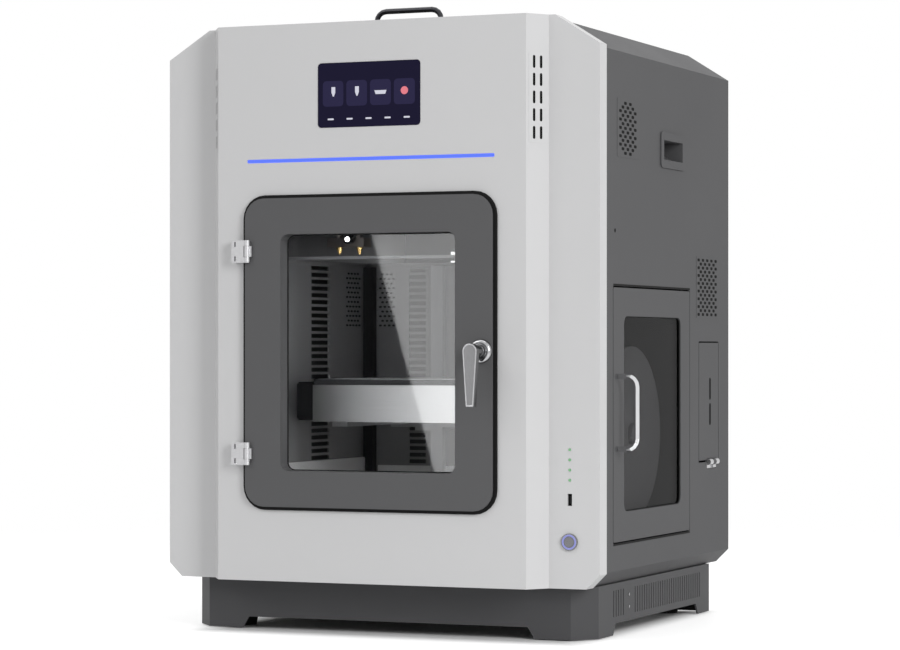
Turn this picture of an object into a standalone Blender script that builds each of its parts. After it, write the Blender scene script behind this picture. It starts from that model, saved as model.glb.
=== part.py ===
"""Enclosed desktop filament printer: heated chamber, front door, side filament bay and lifting lid.

Machine frame: X across (0 on the centre plane), Y from the front face backwards, Z up from the floor.
An empty shifts the whole machine so that the middle of its footprint stands on the world origin.
"""

import math

import bmesh
import bpy
from mathutils import Matrix, Vector

MM = 0.001

# Fits and sheet
GAP = 0.3 * MM                    # clearance between faces that seat on each other
SHEET = 2.0 * MM                  # folded sheet of the cabinet
ROUND = 12                        # sides of small round pieces

# Cabinet
BODY_HALF = 245 * MM              # half width over the side panels
BODY_BACK = 473 * MM              # front face to outside of the rear panel
BODY_LOW = 56 * MM                # underside of the cabinet above the floor
BODY_TOP = 648 * MM               # roof level of the side panels
SHOULDER_X = BODY_HALF - 49 * MM  # where the sloped shoulder meets the roof
SHOULDER_DROP = 31 * MM           # height of the sloped shoulder
BEVEL = 15 * MM                   # bevel along the bottom corners
LEDGE_DEPTH = 5 * MM              # step that takes the lid
LEDGE_WIDTH = 16 * MM
FLOOR_FLANGE = 40 * MM            # inward flange under the floor pan

# Front fascia
FASCIA_T = 2.5 * MM
FASCIA_PROUD = 5 * MM             # how far the fascia stands out past the side panels
FASCIA_TOP = 650 * MM
FASCIA_DEPTH = 45 * MM            # front face to the fascia's rear edge
FASCIA_LIP = 14 * MM              # turned-in flange at the rear edge
FACE_HALF = BODY_HALF - 67 * MM   # half width of the raised front face
WING_X = FACE_HALF + 16 * MM      # inner edge of the set-back wings
WING_Y = 24 * MM                  # set-back of the wings

# Front door
DOOR_W = 286 * MM
DOOR_H = 329 * MM
DOOR_Z = 300 * MM                 # height of the door's centre
DOOR_R = 22 * MM
DOOR_FRONT = -6 * MM              # front surface of the door
DOOR_SKIN = 1.6 * MM              # thin edge of the door all round
DOOR_EDGE = 6 * MM               # width of that thin edge
GASKET_T = 2.0 * MM
GASKET_OUT = 3.5 * MM             # how far the seal shows past the door
GASKET_W = 7 * MM
OPENING_W = DOOR_W - 8 * MM       # chamber opening in the fascia
OPENING_H = DOOR_H - 9 * MM
OPENING_R = 5 * MM
WINDOW_W = 202 * MM
WINDOW_H = 252 * MM
WINDOW_R = 9 * MM
GLASS_T = 5 * MM
GLASS_LAP = 9 * MM                # how far a pane laps behind its frame

# Door hinges and lever
HINGE_X = 4.5 * MM - DOOR_W / 2    # hinge axis
HINGE_Y = -9.5 * MM
HINGE_R = 3.2 * MM
HINGE_PIN_R = 1.4 * MM
HINGE_H = 24 * MM
HINGE_INSET = 56.5 * MM           # door's end to the middle of a hinge
HINGE_ZS = {"upper": DOOR_Z + DOOR_H / 2 - HINGE_INSET, "lower": DOOR_Z - DOOR_H / 2 + HINGE_INSET}
HINGE_PLATE_X = -DOOR_W / 2 - 14 * MM  # outer edge of the hinge plate
LEVER_X = DOOR_W / 2 - 13 * MM
LEVER_Z = 301.5 * MM
ROSETTE_R = 11 * MM
ROSETTE_T = 5 * MM
LEVER_STAND = 30 * MM             # door front to the lever's outer face
LEVER_L = 57 * MM                 # axis to the lever's lower end
LEVER_W = 16 * MM
LEVER_TIP_W = 8.5 * MM
LEVER_T = 7 * MM
SPINDLE_R = 3 * MM
CAM_L = 21 * MM
CAM_HALF = 4.2 * MM
CAM_T = 3 * MM

# Front controls
SCREEN_W = 118 * MM
SCREEN_H = 68 * MM
SCREEN_Z = 572.5 * MM
SCREEN_R = 4 * MM
SCREEN_T = 9 * MM
STRIP_W = 285 * MM                # blue light strip
STRIP_H = 3 * MM
STRIP_Z = 504.6 * MM
CONTROL_X = BODY_HALF - 28 * MM   # column of lamps, socket and switch on the right wing
LAMP_R = 1.3 * MM
LAMP_PITCH = 10.5 * MM
LAMP_COUNT = 4
LAMP_TOP_Z = 199.8 * MM
USB_W = 5 * MM
USB_H = 12.5 * MM
USB_Z = 148 * MM
BUTTON_Z = 104.5 * MM
BUTTON_R = 5.6 * MM
BUTTON_TRAVEL = 2 * MM
BEZEL_R = 9 * MM
BEZEL_PROUD = 1.8 * MM
SLOT_L = 13 * MM                  # vent slots on the fascia's slanted facets
SLOT_W = 2.2 * MM
SLOT_PITCH = 18.3 * MM
SLOT_ROWS = 5
SLOT_TOP_Z = 600.5 * MM
SLOT_STEP = 0.25                  # place of each column across the facet

# Right side: filament bay door, flap, grip and vents
SIDE_DOOR_Y = (77.5 * MM, 331.5 * MM)
SIDE_DOOR_Z = (99.5 * MM, 370 * MM)
SIDE_GAP = 1.5 * MM
SIDE_DOOR_DEEP = 12 * MM
SIDE_WIN_Y = (112 * MM, 299 * MM)
SIDE_WIN_Z = (132 * MM, 338.5 * MM)
SIDE_WIN_R = 9 * MM
SIDE_GLASS_T = 3 * MM
SIDE_AXIS_X = BODY_HALF - 6 * MM
SIDE_AXIS_Y = SIDE_DOOR_Y[1] - 16.5 * MM
SIDE_ROD_R = 2 * MM
HANDLE_SPAN = 76 * MM             # between the legs of a bow handle
HANDLE_RISE = 23 * MM
HANDLE_R = 3 * MM
HANDLE_BEND = 11 * MM
SIDE_HANDLE_Y = 86 * MM
SIDE_HANDLE_Z = 237 * MM
FLAP_Y = (362.6 * MM, 436 * MM)
FLAP_Z = (175 * MM, 312.6 * MM)
FLAP_SLOT_Z = ((217 * MM, 242 * MM), (246 * MM, 271 * MM))
FLAP_SLOT_Y = 404 * MM
FLAP_SLOT_W = 4 * MM
FLAP_HINGE_Y = (393 * MM, 426 * MM)
FLAP_HINGE_R = 3.5 * MM
FLAP_HINGE_OUT = 1.2 * MM         # hinge axis beyond the panel's outer face
GRIP_Y = (236 * MM, 304 * MM)
GRIP_Z = (509 * MM, 535 * MM)
GRIP_DEEP = 26 * MM
GRIP_FLANGE = 7 * MM
GRIP_T = 2 * MM
VENT_R = 1.9 * MM                 # radius of each vent hole
VENT_PITCH_Y = 15.5 * MM          # hole spacing along a row
VENT_PITCH_Z = 4.4 * MM           # row spacing
FRONT_VENT = (123.5 * MM, 537 * MM)
FRONT_VENT_ROWS = 13
REAR_VENT = (393 * MM, 374 * MM)
REAR_VENT_ROWS = 15

# Filament bay
BAY_X = BODY_HALF - 99 * MM
BAY_Y = (SIDE_DOOR_Y[0] - 4.5 * MM, SIDE_DOOR_Y[1] + 7.5 * MM)
BAY_Z = (SIDE_DOOR_Z[0] - 5.5 * MM, SIDE_DOOR_Z[1] + 6 * MM)
BAY_T = 1.5 * MM
SPOOL_Y = 204 * MM
SPOOL_Z = 212 * MM
SPOOL_R = 95 * MM
SPOOL_HUB_R = 27 * MM
SPOOL_W = 66 * MM
SPOOL_FLANGE = 3 * MM
SPOOL_OUT_X = BODY_HALF - 25 * MM  # outer flange of the spool
WOUND_R = 84 * MM                 # outside of the wound filament
SHAFT_R = 11 * MM

# Rear
INLET_X = (-150 * MM, -102 * MM)
INLET_Z = (86 * MM, 114 * MM)
INLET_FLANGE = 3 * MM
REAR_SLOT_TOP = 420 * MM
REAR_SLOT_ROWS = 9
REAR_SLOT_PITCH = 11 * MM
REAR_SLOT_X = 70 * MM
REAR_SLOT_L = 72 * MM
REAR_SLOT_H = 4 * MM
SUPPLY_X = (20 * MM - BODY_HALF, 119 * MM - BODY_HALF)
SUPPLY_Y = (BODY_BACK - 263 * MM, BODY_BACK - 48 * MM)
SUPPLY_H = 50 * MM
SUPPLY_SLOTS = 8
SUPPLY_PITCH = 12 * MM

# Lid
LID_T = 4.7 * MM
LID_FRONT = FASCIA_DEPTH + 1 * MM
LID_BACK = BODY_BACK - 7 * MM
LID_HANDLE_Y = 105 * MM
LID_AXIS_Y = BODY_BACK - 3 * MM
LID_AXIS_Z = BODY_TOP + 3 * MM
LID_ROD_R = 2 * MM
LID_LUG_X = 130 * MM
LID_LUG_W = 14 * MM
LUG_R = 4.2 * MM

# Plinth
PLINTH_HALF = BODY_HALF - 12 * MM
PLINTH_FRONT = 43 * MM
PLINTH_BACK = 437 * MM
PLINTH_CHAMFER = (22 * MM, 24 * MM)
ARCH_H = 13 * MM
ARCH_FRONT_X = PLINTH_HALF - 70 * MM
ARCH_SIDE_Y = (119 * MM, 389 * MM)
ARCH_SLOPE = 8 * MM
LOUVRE_W = 2.4 * MM
LOUVRE_Z = (20 * MM, 48 * MM)
LOUVRE_PITCH = 7.6 * MM
LOUVRE_GROUPS = ((112 * MM, 5), (180 * MM, 30))
FOOT_R = 16 * MM
FOOT_TOP = 15 * MM                # height of the gusset plates that carry the feet
FOOT_X = PLINTH_HALF - 43 * MM
FOOT_Y = (86 * MM, 408 * MM)

# Chamber
CHAMBER_HALF = BODY_HALF - 105 * MM
CHAMBER_FRONT = 28 * MM
CHAMBER_BACK = 300 * MM
CHAMBER_LOW = 150 * MM
CHAMBER_TOP = 400 * MM
LINER_T = 2 * MM
RUNG_COUNT = 30                   # slots of the air ladders in the side walls
RUNG_PITCH = 7.6 * MM
RUNG_H = 4.6 * MM
RUNG_Y = (154 * MM, 200 * MM)
RUNG_X = (CHAMBER_HALF - 76 * MM, CHAMBER_HALF - 55 * MM)  # the same ladders in the back wall
CHAMBER_VENT_R = 2.2 * MM
CHAMBER_VENT_ROWS = 11
CHAMBER_VENT_COLS = 3
CHAMBER_VENT_PITCH = (13 * MM, 6 * MM)
CHAMBER_VENT_Z = CHAMBER_TOP - 9 * MM
CHAMBER_VENT_X = CHAMBER_HALF - 22 * MM
CHAMBER_VENT_Y = CHAMBER_BACK - 38 * MM

# Motion: Z axis
RAIL_X = 46 * MM
RAIL_W = 15 * MM
RAIL_D = 10 * MM
CARRIAGE_Z = (215 * MM, 245 * MM)
BED_TOP_Z = 271 * MM
BED_FRONT = 80 * MM
BED_HALF = CHAMBER_HALF - 37 * MM
BED_DEPTH = 180 * MM
BED_T = 6 * MM
BED_COVER_H = 40 * MM
ARM_X = BED_HALF - 23 * MM         # arms of the carriage under the bed
BED_COVER_T = 3 * MM
SCREW_Y = CHAMBER_BACK - 16 * MM
SCREW_R = 5 * MM
MOTOR_W = 42 * MM
Z_MOTOR_H = 60 * MM

# Motion: gantry and head
DECK_T = 3 * MM
Y_RAIL_X = CHAMBER_HALF + 18 * MM
Y_BEAM_W = 20 * MM
Y_RAIL_TOP = 460 * MM
Y_RAIL_W = 12 * MM
Y_RAIL_H = 10 * MM
Y_RAIL_SPAN = (60 * MM, 430 * MM)
BEAM_Y = 160 * MM
BEAM_W = 20 * MM
BEAM_Z = (472 * MM, 494 * MM)
HEAD_X = 60 * MM - CHAMBER_HALF
HEAD_W = 54 * MM
HEAD_Y = 126 * MM
NOZZLE_Z = 408 * MM
NOZZLE_SPREAD = 12 * MM


def rgb_material(name, colour, roughness, metallic=0.0, alpha=1.0):
    material = bpy.data.materials.new(name)
    material.use_nodes = True
    shader = material.node_tree.nodes["Principled BSDF"]
    shader.inputs["Base Color"].default_value = (*colour, 1.0)
    shader.inputs["Roughness"].default_value = roughness
    shader.inputs["Metallic"].default_value = metallic
    shader.inputs["Alpha"].default_value = alpha
    return material


def clear_scene():
    for item in list(bpy.data.objects):
        bpy.data.objects.remove(item, do_unlink=True)


clear_scene()
PARTS = bpy.data.collections.new("filament_printer")
CUTTERS = bpy.data.collections.new("cutters")
for group in (PARTS, CUTTERS):
    bpy.context.scene.collection.children.link(group)

LIGHT_PAINT = rgb_material("light_paint", (0.58, 0.58, 0.58), 0.45)
DARK_PAINT = rgb_material("dark_paint", (0.12, 0.12, 0.125), 0.5)
RUBBER = rgb_material("black_rubber", (0.01, 0.01, 0.01), 0.8)
STEEL = rgb_material("bright_steel", (0.7, 0.7, 0.7), 0.2, 1.0)
BRUSHED = rgb_material("brushed_metal", (0.6, 0.6, 0.6), 0.35, 1.0)
GLASS = rgb_material("clear_glass", (0.8, 0.82, 0.84), 0.05, 0.0, 0.3)
SMOKED = rgb_material("smoked_glass", (0.05, 0.05, 0.055), 0.1, 0.0, 0.6)
SCREEN = rgb_material("screen_glass", (0.02, 0.015, 0.06), 0.1)
BLUE_LIGHT = rgb_material("blue_light", (0.1, 0.15, 0.9), 0.4)
GREEN_LENS = rgb_material("green_lens", (0.2, 0.6, 0.25), 0.3)
BLACK_PLASTIC = rgb_material("black_plastic", (0.02, 0.02, 0.022), 0.5)
LINER_PAINT = rgb_material("liner_paint", (0.16, 0.16, 0.165), 0.55)
BRASS = rgb_material("brass", (0.7, 0.5, 0.2), 0.3, 1.0)
FILAMENT = rgb_material("filament", (0.3, 0.3, 0.31), 0.5)


# Modelling helpers

def tidy(bm):
    bmesh.ops.remove_doubles(bm, verts=bm.verts, dist=0.00001)
    bmesh.ops.recalc_face_normals(bm, faces=bm.faces)
    return bm


def block(x, y, z):
    """A box between two X, two Y and two Z values."""
    bm = bmesh.new()
    size = Vector((x[1] - x[0], y[1] - y[0], z[1] - z[0]))
    centre = Vector((x[0] + x[1], y[0] + y[1], z[0] + z[1])) / 2
    bmesh.ops.create_cube(bm, size=1.0, matrix=Matrix.Translation(centre) @ Matrix.Diagonal((*size, 1.0)))
    return bm


TURN = {
    "x": Matrix.Rotation(math.pi / 2, 4, "Y"),
    "y": Matrix.Rotation(-math.pi / 2, 4, "X"),
    "z": Matrix.Identity(4),
}


def rod(axis, centre, radius, low, high, sides=ROUND, radius_high=None):
    """A round bar along an axis from low to high; centre gives its other two coordinates."""
    bm = bmesh.new()
    place = Vector(centre)
    index = "xyz".index(axis)
    place[index] = (low + high) / 2
    wide = radius if radius_high is None else radius_high
    bmesh.ops.create_cone(bm, cap_ends=True, segments=sides, radius1=radius, radius2=wide,
                          depth=high - low, matrix=Matrix.Translation(place) @ TURN[axis])
    return bm


PLANE = {
    "xy": Matrix.Identity(4),
    "xz": Matrix(((1, 0, 0, 0), (0, 0, -1, 0), (0, 1, 0, 0), (0, 0, 0, 1))),
    "yz": Matrix(((0, 0, 1, 0), (1, 0, 0, 0), (0, 1, 0, 0), (0, 0, 0, 1))),
}


def prism(outline, plane, low, high):
    """A flat outline in the named plane, extruded between two values of the third coordinate."""
    curve = bpy.data.curves.new("outline", "CURVE")
    curve.dimensions = "2D"
    curve.fill_mode = "BOTH"
    curve.extrude = (high - low) / 2
    spline = curve.splines.new("POLY")
    spline.points.add(len(outline) - 1)
    for point, (u, v) in zip(spline.points, outline):
        point.co = (u, v, 0, 1)
    spline.use_cyclic_u = True
    holder = bpy.data.objects.new("outline", curve)
    bpy.context.scene.collection.objects.link(holder)
    graph = bpy.context.evaluated_depsgraph_get()
    mesh = bpy.data.meshes.new_from_object(holder.evaluated_get(graph))
    bpy.data.objects.remove(holder)
    bpy.data.curves.remove(curve)
    place = PLANE[plane].copy()
    normal = ("yz", "xz", "xy").index(plane)
    place[normal][3] = (low + high) / 2
    mesh.transform(place)
    bm = bmesh.new()
    bm.from_mesh(mesh)
    bpy.data.meshes.remove(mesh)
    return tidy(bm)


def together(*pieces):
    """Several closed shapes in one mesh."""
    whole = bmesh.new()
    for piece in pieces:
        mesh = bpy.data.meshes.new("piece")
        piece.to_mesh(mesh)
        whole.from_mesh(mesh)
        bpy.data.meshes.remove(mesh)
        piece.free()
    return whole


def arc(centre, radius, start, end, steps):
    """Points on an arc, angles in degrees."""
    angles = [math.radians(start + (end - start) * i / steps) for i in range(steps + 1)]
    return [(centre[0] + radius * math.cos(a), centre[1] + radius * math.sin(a)) for a in angles]


def rounded(width, height, radius, centre=(0, 0), steps=4):
    """A rectangle with round corners, centred."""
    x, y = width / 2 - radius, height / 2 - radius
    corners = ((x, y, 0), (-x, y, 90), (-x, -y, 180), (x, -y, 270))
    points = []
    for cx, cy, start in corners:
        points += arc((centre[0] + cx, centre[1] + cy), radius, start, start + 90, steps)
    return points


def span_rounded(u, v, radius, steps=3):
    """A rounded rectangle between two u and two v values."""
    return rounded(u[1] - u[0], v[1] - v[0], radius, ((u[0] + u[1]) / 2, (v[0] + v[1]) / 2), steps)


def grown(span, amount):
    return (span[0] - amount, span[1] + amount)


def folded(points, thickness):
    """The closed outline of a folded sheet whose outer face follows the points; the sheet lies to their left."""
    inner = []
    count = len(points)
    for i, here in enumerate(points):
        before = Vector(points[max(i - 1, 0)])
        after = Vector(points[min(i + 1, count - 1)])
        here = Vector(here)
        ways = [w.normalized() for w in (here - before, after - here) if w.length > 1e-9]
        normals = [Vector((-w.y, w.x)) for w in ways]
        bend = sum(normals, Vector((0, 0))).normalized()
        inner.append(tuple(here + bend * (thickness / bend.dot(normals[0]))))
    return [tuple(p) for p in points] + inner[::-1]


def mirrored(outline):
    return [(-u, v) for u, v in outline][::-1]


EXTENT_X = (-BODY_HALF - FASCIA_PROUD, BODY_HALF + GAP + HANDLE_RISE + HANDLE_R)
EXTENT_Y = (DOOR_FRONT - LEVER_STAND, BODY_BACK + GAP + INLET_FLANGE)
ROOT = bpy.data.objects.new("printer", None)
PARTS.objects.link(ROOT)
ROOT.location = (-sum(EXTENT_X) / 2, -sum(EXTENT_Y) / 2, 0)


def pivot(name, place, parent=ROOT):
    """An empty on a joint's axis, placed in the machine frame."""
    empty = bpy.data.objects.new(name, None)
    PARTS.objects.link(empty)
    empty.parent = parent
    empty["place"] = place
    empty.location = Vector(place) - Vector(parent.get("place", (0, 0, 0)))
    return empty


def made(name, bm, material, parent=ROOT, smooth=False):
    """A named part from a mesh drawn in the machine frame, hung on its pivot."""
    mesh = bpy.data.meshes.new(name)
    bm.to_mesh(mesh)
    bm.free()
    mesh.transform(Matrix.Translation(-Vector(parent.get("place", (0, 0, 0)))))
    if smooth:
        mesh.shade_smooth()
        mesh.set_sharp_from_angle(angle=math.radians(35))
    mesh.materials.append(material)
    part = bpy.data.objects.new(name, mesh)
    PARTS.objects.link(part)
    part.parent = parent
    return part


def boolean(part, bm, operation):
    mesh = bpy.data.meshes.new("tool")
    bm.to_mesh(mesh)
    bm.free()
    tool = bpy.data.objects.new(f"{part.name}_{operation.lower()}_{len(part.modifiers)}", mesh)
    CUTTERS.objects.link(tool)
    tool.parent = ROOT
    tool.hide_render = True
    tool.display_type = "WIRE"
    modifier = part.modifiers.new(operation.title(), "BOOLEAN")
    modifier.operation = operation
    modifier.solver = "EXACT"
    modifier.object = tool
    return part


def cut(part, bm):
    return boolean(part, bm, "DIFFERENCE")


def join(part, bm):
    return boolean(part, bm, "UNION")


def keep(part, bm):
    return boolean(part, bm, "INTERSECT")


def soften(part, width, segments=2, angle=40):
    """Rounded edges."""
    modifier = part.modifiers.new("Soften", "BEVEL")
    modifier.width = width
    modifier.segments = segments
    modifier.limit_method = "ANGLE"
    modifier.angle_limit = math.radians(angle)
    return part


def bow(name, axis_rise, axis_along, foot, material, parent):
    """A round bow handle: two legs and a grip, from a bevelled curve. foot is the middle between its feet."""
    rise, along = Vector(axis_rise), Vector(axis_along)
    points = []
    half = HANDLE_SPAN / 2
    for side in (-1, 1):
        quarter = [math.radians(90 * i / 4) for i in range(5)]
        bend = [(side * (half - HANDLE_BEND * (1 - math.cos(a))),
                 HANDLE_RISE - HANDLE_BEND * (1 - math.sin(a))) for a in quarter]
        leg = [(side * half, 0), *bend]
        points += leg if side < 0 else leg[::-1]
    curve = bpy.data.curves.new(name, "CURVE")
    curve.dimensions = "3D"
    curve.bevel_depth = HANDLE_R
    curve.bevel_resolution = 2
    curve.use_fill_caps = True
    spline = curve.splines.new("POLY")
    spline.points.add(len(points) - 1)
    origin = Vector(foot) - Vector(parent.get("place", (0, 0, 0)))
    for point, (u, v) in zip(spline.points, points):
        point.co = (*(origin + along * u + rise * (v + GAP)), 1)
    curve.materials.append(material)
    part = bpy.data.objects.new(name, curve)
    PARTS.objects.link(part)
    part.parent = parent
    return part


# Outlines shared by the cabinet's pieces

SIDE_TOP = BODY_TOP - SHOULDER_DROP
PANEL_FRONT = FASCIA_DEPTH + GAP
PANEL_BACK = BODY_BACK - SHEET - GAP
LEDGE_Z = BODY_TOP - LEDGE_DEPTH


def body_outline(grow=0.0, top=BODY_TOP):
    """Cross-section of the cabinet: sloped shoulders and bevelled lower corners."""
    half = BODY_HALF + grow
    low = BODY_LOW
    right = [(half - BEVEL, low), (half, low + BEVEL), (half, SIDE_TOP + (top - BODY_TOP)),
             (SHOULDER_X + grow, top)]
    return right + [(-x, z) for x, z in reversed(right)]


def shrunk(outline, amount):
    """The outline drawn in by an even amount; its points run anticlockwise."""
    count = len(outline)
    points = []
    for i, here in enumerate(outline):
        here = Vector(here)
        a = (here - Vector(outline[i - 1])).normalized()
        b = (Vector(outline[(i + 1) % count]) - here).normalized()
        na, nb = Vector((-a.y, a.x)), Vector((-b.y, b.x))
        bend = (na + nb).normalized()
        points.append(tuple(here + bend * (amount / bend.dot(na))))
    return points


FASCIA_OUTLINE = body_outline(FASCIA_PROUD, FASCIA_TOP)
SPARE = 20 * MM                   # how far cutting shapes run past what they cut
PLAN_HALF = BODY_HALF + FASCIA_PROUD + SPARE
FASCIA_PLAN = [(-FACE_HALF, 0), (FACE_HALF, 0), (WING_X, WING_Y), (PLAN_HALF, WING_Y),
               (PLAN_HALF, FASCIA_DEPTH),
               (-PLAN_HALF, FASCIA_DEPTH), (-PLAN_HALF, WING_Y), (-WING_X, WING_Y)]


def facet_slots():
    """Two columns of vent slots through each slanted facet of the fascia."""
    pieces = []
    slope = math.atan2(WING_Y, WING_X - FACE_HALF)
    for side in (-1, 1):
        for share in (0.5 - SLOT_STEP, 0.5 + SLOT_STEP):
            x = side * (FACE_HALF + (WING_X - FACE_HALF) * share)
            for row in range(SLOT_ROWS):
                z = SLOT_TOP_Z - SLOT_PITCH * row
                slot = block((-SLOT_W / 2, SLOT_W / 2), (-4 * FASCIA_T, 4 * FASCIA_T),
                             (-SLOT_L / 2, SLOT_L / 2))
                turn = Matrix.Rotation(side * slope, 4, "Z")
                slot.transform(Matrix.Translation((x, WING_Y * share, z)) @ turn)
                pieces.append(slot)
    return together(*pieces)


def front_fascia():
    fascia = made("front_fascia", prism(FASCIA_PLAN, "xy", BODY_LOW - SPARE, FASCIA_TOP + SPARE),
                  LIGHT_PAINT)
    beyond = SPARE
    keep(fascia, prism(FASCIA_OUTLINE, "xz", -beyond, FASCIA_DEPTH + beyond))
    hollow = made("fascia_hollow", prism(shrunk(FASCIA_PLAN, FASCIA_T), "xy", 0, FASCIA_TOP + SPARE),
                  LIGHT_PAINT)
    keep(hollow, prism(shrunk(FASCIA_OUTLINE, FASCIA_T), "xz", -beyond, FASCIA_DEPTH + beyond))
    CUTTERS.objects.link(hollow)
    PARTS.objects.unlink(hollow)
    hollow.hide_render = True
    hollow.display_type = "WIRE"
    modifier = fascia.modifiers.new("Hollow", "BOOLEAN")
    modifier.operation = "DIFFERENCE"
    modifier.object = hollow
    cut(fascia, prism(shrunk(FASCIA_OUTLINE, FASCIA_LIP), "xz", FASCIA_DEPTH - 2 * FASCIA_T,
                      FASCIA_DEPTH + beyond))
    through = (-beyond, WING_Y - FASCIA_T)
    openings = [
        prism(rounded(OPENING_W, OPENING_H, OPENING_R, (0, DOOR_Z)), "xz", *through),
        prism(rounded(SCREEN_W + 2 * GAP, SCREEN_H + 2 * GAP, SCREEN_R, (0, SCREEN_Z)), "xz", *through),
        prism(rounded(STRIP_W + 2 * GAP, STRIP_H + 2 * GAP, STRIP_H / 3, (0, STRIP_Z), 2), "xz", *through),
    ]
    wing = (WING_Y - beyond, WING_Y + 4 * FASCIA_T)
    openings += [rod("y", (CONTROL_X, 0, z), LAMP_R + GAP, *wing) for z in lamp_heights()]
    openings.append(block((CONTROL_X - USB_W / 2, CONTROL_X + USB_W / 2), wing,
                          (USB_Z - USB_H / 2, USB_Z + USB_H / 2)))
    openings.append(rod("y", (CONTROL_X, 0, BUTTON_Z), BEZEL_R - 1.5 * MM + GAP, *wing, sides=20))
    cut(fascia, together(*openings))
    cut(fascia, facet_slots())


def lamp_heights():
    return [LAMP_TOP_Z - LAMP_PITCH * i for i in range(LAMP_COUNT)]


def front_controls():
    screen = made("touch_screen", prism(rounded(SCREEN_W, SCREEN_H, SCREEN_R, (0, SCREEN_Z)), "xz",
                                        -0.6 * MM, SCREEN_T), SCREEN)
    flange = 6 * MM
    join(screen, block((-SCREEN_W / 2 - flange, SCREEN_W / 2 + flange), (FASCIA_T + GAP, SCREEN_T),
                       (SCREEN_Z - SCREEN_H / 2 - flange, SCREEN_Z + SCREEN_H / 2 + flange)))
    strip = made("light_strip", prism(rounded(STRIP_W, STRIP_H, STRIP_H / 3, (0, STRIP_Z), 2), "xz",
                                      -0.4 * MM, FASCIA_T + 4 * MM), BLUE_LIGHT)
    join(strip, block((-STRIP_W / 2 - 4 * MM, STRIP_W / 2 + 4 * MM), (FASCIA_T + GAP, FASCIA_T + 4 * MM),
                      (STRIP_Z - 5 * MM, STRIP_Z + 5 * MM)))
    behind = WING_Y + FASCIA_T + GAP
    lens_back = behind + 3 * MM
    heights = lamp_heights()
    lens = made("indicator_lens_bar", block((CONTROL_X - 4 * MM, CONTROL_X + 4 * MM), (behind, lens_back),
                                            (heights[-1] - 5 * MM, heights[0] + 5 * MM)), GREEN_LENS)
    join(lens, together(*[rod("y", (CONTROL_X, 0, z), LAMP_R, WING_Y - 0.5 * MM, behind + 1 * MM)
                          for z in heights]))
    bezel = made("button_bezel", rod("y", (CONTROL_X, 0, BUTTON_Z), BEZEL_R, WING_Y - GAP - BEZEL_PROUD,
                                     WING_Y - GAP, sides=24), STEEL, smooth=True)
    join(bezel, rod("y", (CONTROL_X, 0, BUTTON_Z), BEZEL_R - 1.5 * MM, WING_Y - 1 * MM, WING_Y + 22 * MM,
                    sides=20))
    cut(bezel, rod("y", (CONTROL_X, 0, BUTTON_Z), BUTTON_R + GAP, WING_Y - 20 * MM, WING_Y + 12 * MM,
                   sides=20))
    place = pivot("power_button_axis", (CONTROL_X, WING_Y, BUTTON_Z))
    made("power_button", rod("y", (CONTROL_X, 0, BUTTON_Z), BUTTON_R, WING_Y - BEZEL_PROUD - 0.4 * MM,
                             WING_Y + 12 * MM - GAP - BUTTON_TRAVEL, sides=20), STEEL, place, smooth=True)


# Cabinet panels

def side_profile():
    """Folded section of the right side panel, outer face first, from the floor flange up to the lid ledge."""
    return [(BODY_HALF - BEVEL - FLOOR_FLANGE, BODY_LOW), (BODY_HALF - BEVEL, BODY_LOW),
            (BODY_HALF, BODY_LOW + BEVEL), (BODY_HALF, SIDE_TOP), (SHOULDER_X, BODY_TOP),
            (SHOULDER_X, LEDGE_Z), (SHOULDER_X - LEDGE_WIDTH, LEDGE_Z)]


def vent_field(centre, rows, columns, pitch, radius, axis, across, corners=True, sides=6):
    """Staggered rows of round holes; the outermost rows lose their end holes."""
    pieces = []
    for row in range(rows):
        count = columns - row % 2
        if corners and row in (0, rows - 1):
            count = columns - 2
        for i in range(count):
            u = centre[0] + (i - (count - 1) / 2) * pitch[0]
            v = centre[1] + (row - (rows - 1) / 2) * pitch[1]
            place = (0, u, v) if axis == "x" else (u, 0, v)
            pieces.append(rod(axis, place, radius, *across, sides=sides))
    return together(*pieces)


def side_panels():
    profile = side_profile()
    wall = (BODY_HALF - 8 * SHEET, BODY_HALF + 8 * SHEET)
    right = made("right_side_panel", prism(folded(profile, SHEET), "xz", PANEL_FRONT, PANEL_BACK),
                 DARK_PAINT)
    left = made("left_side_panel", prism(mirrored(folded(profile, SHEET)), "xz", PANEL_FRONT, PANEL_BACK),
                DARK_PAINT)
    lug = FLAP_HINGE_R + GAP
    cut(right, together(
        prism(span_rounded(SIDE_DOOR_Y, SIDE_DOOR_Z, 3 * MM), "yz", *wall),
        prism(span_rounded(FLAP_Y, FLAP_Z, 2 * MM), "yz", *wall),
        block(wall, GRIP_Y, GRIP_Z)))
    cut(right, block(wall, grown(FLAP_HINGE_Y, GAP), (FLAP_Z[0] - 2 * lug, FLAP_Z[0] + lug)))
    pitch = (VENT_PITCH_Y, VENT_PITCH_Z)
    cut(right, vent_field(FRONT_VENT, FRONT_VENT_ROWS, 4, pitch, VENT_R, "x", wall))
    cut(right, vent_field(REAR_VENT, REAR_VENT_ROWS, 5, pitch, VENT_R, "x", wall, corners=False))
    other = (-wall[1], -wall[0])
    cut(left, block(other, GRIP_Y, GRIP_Z))
    cut(left, vent_field(FRONT_VENT, FRONT_VENT_ROWS, 4, pitch, VENT_R, "x", other))


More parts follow.
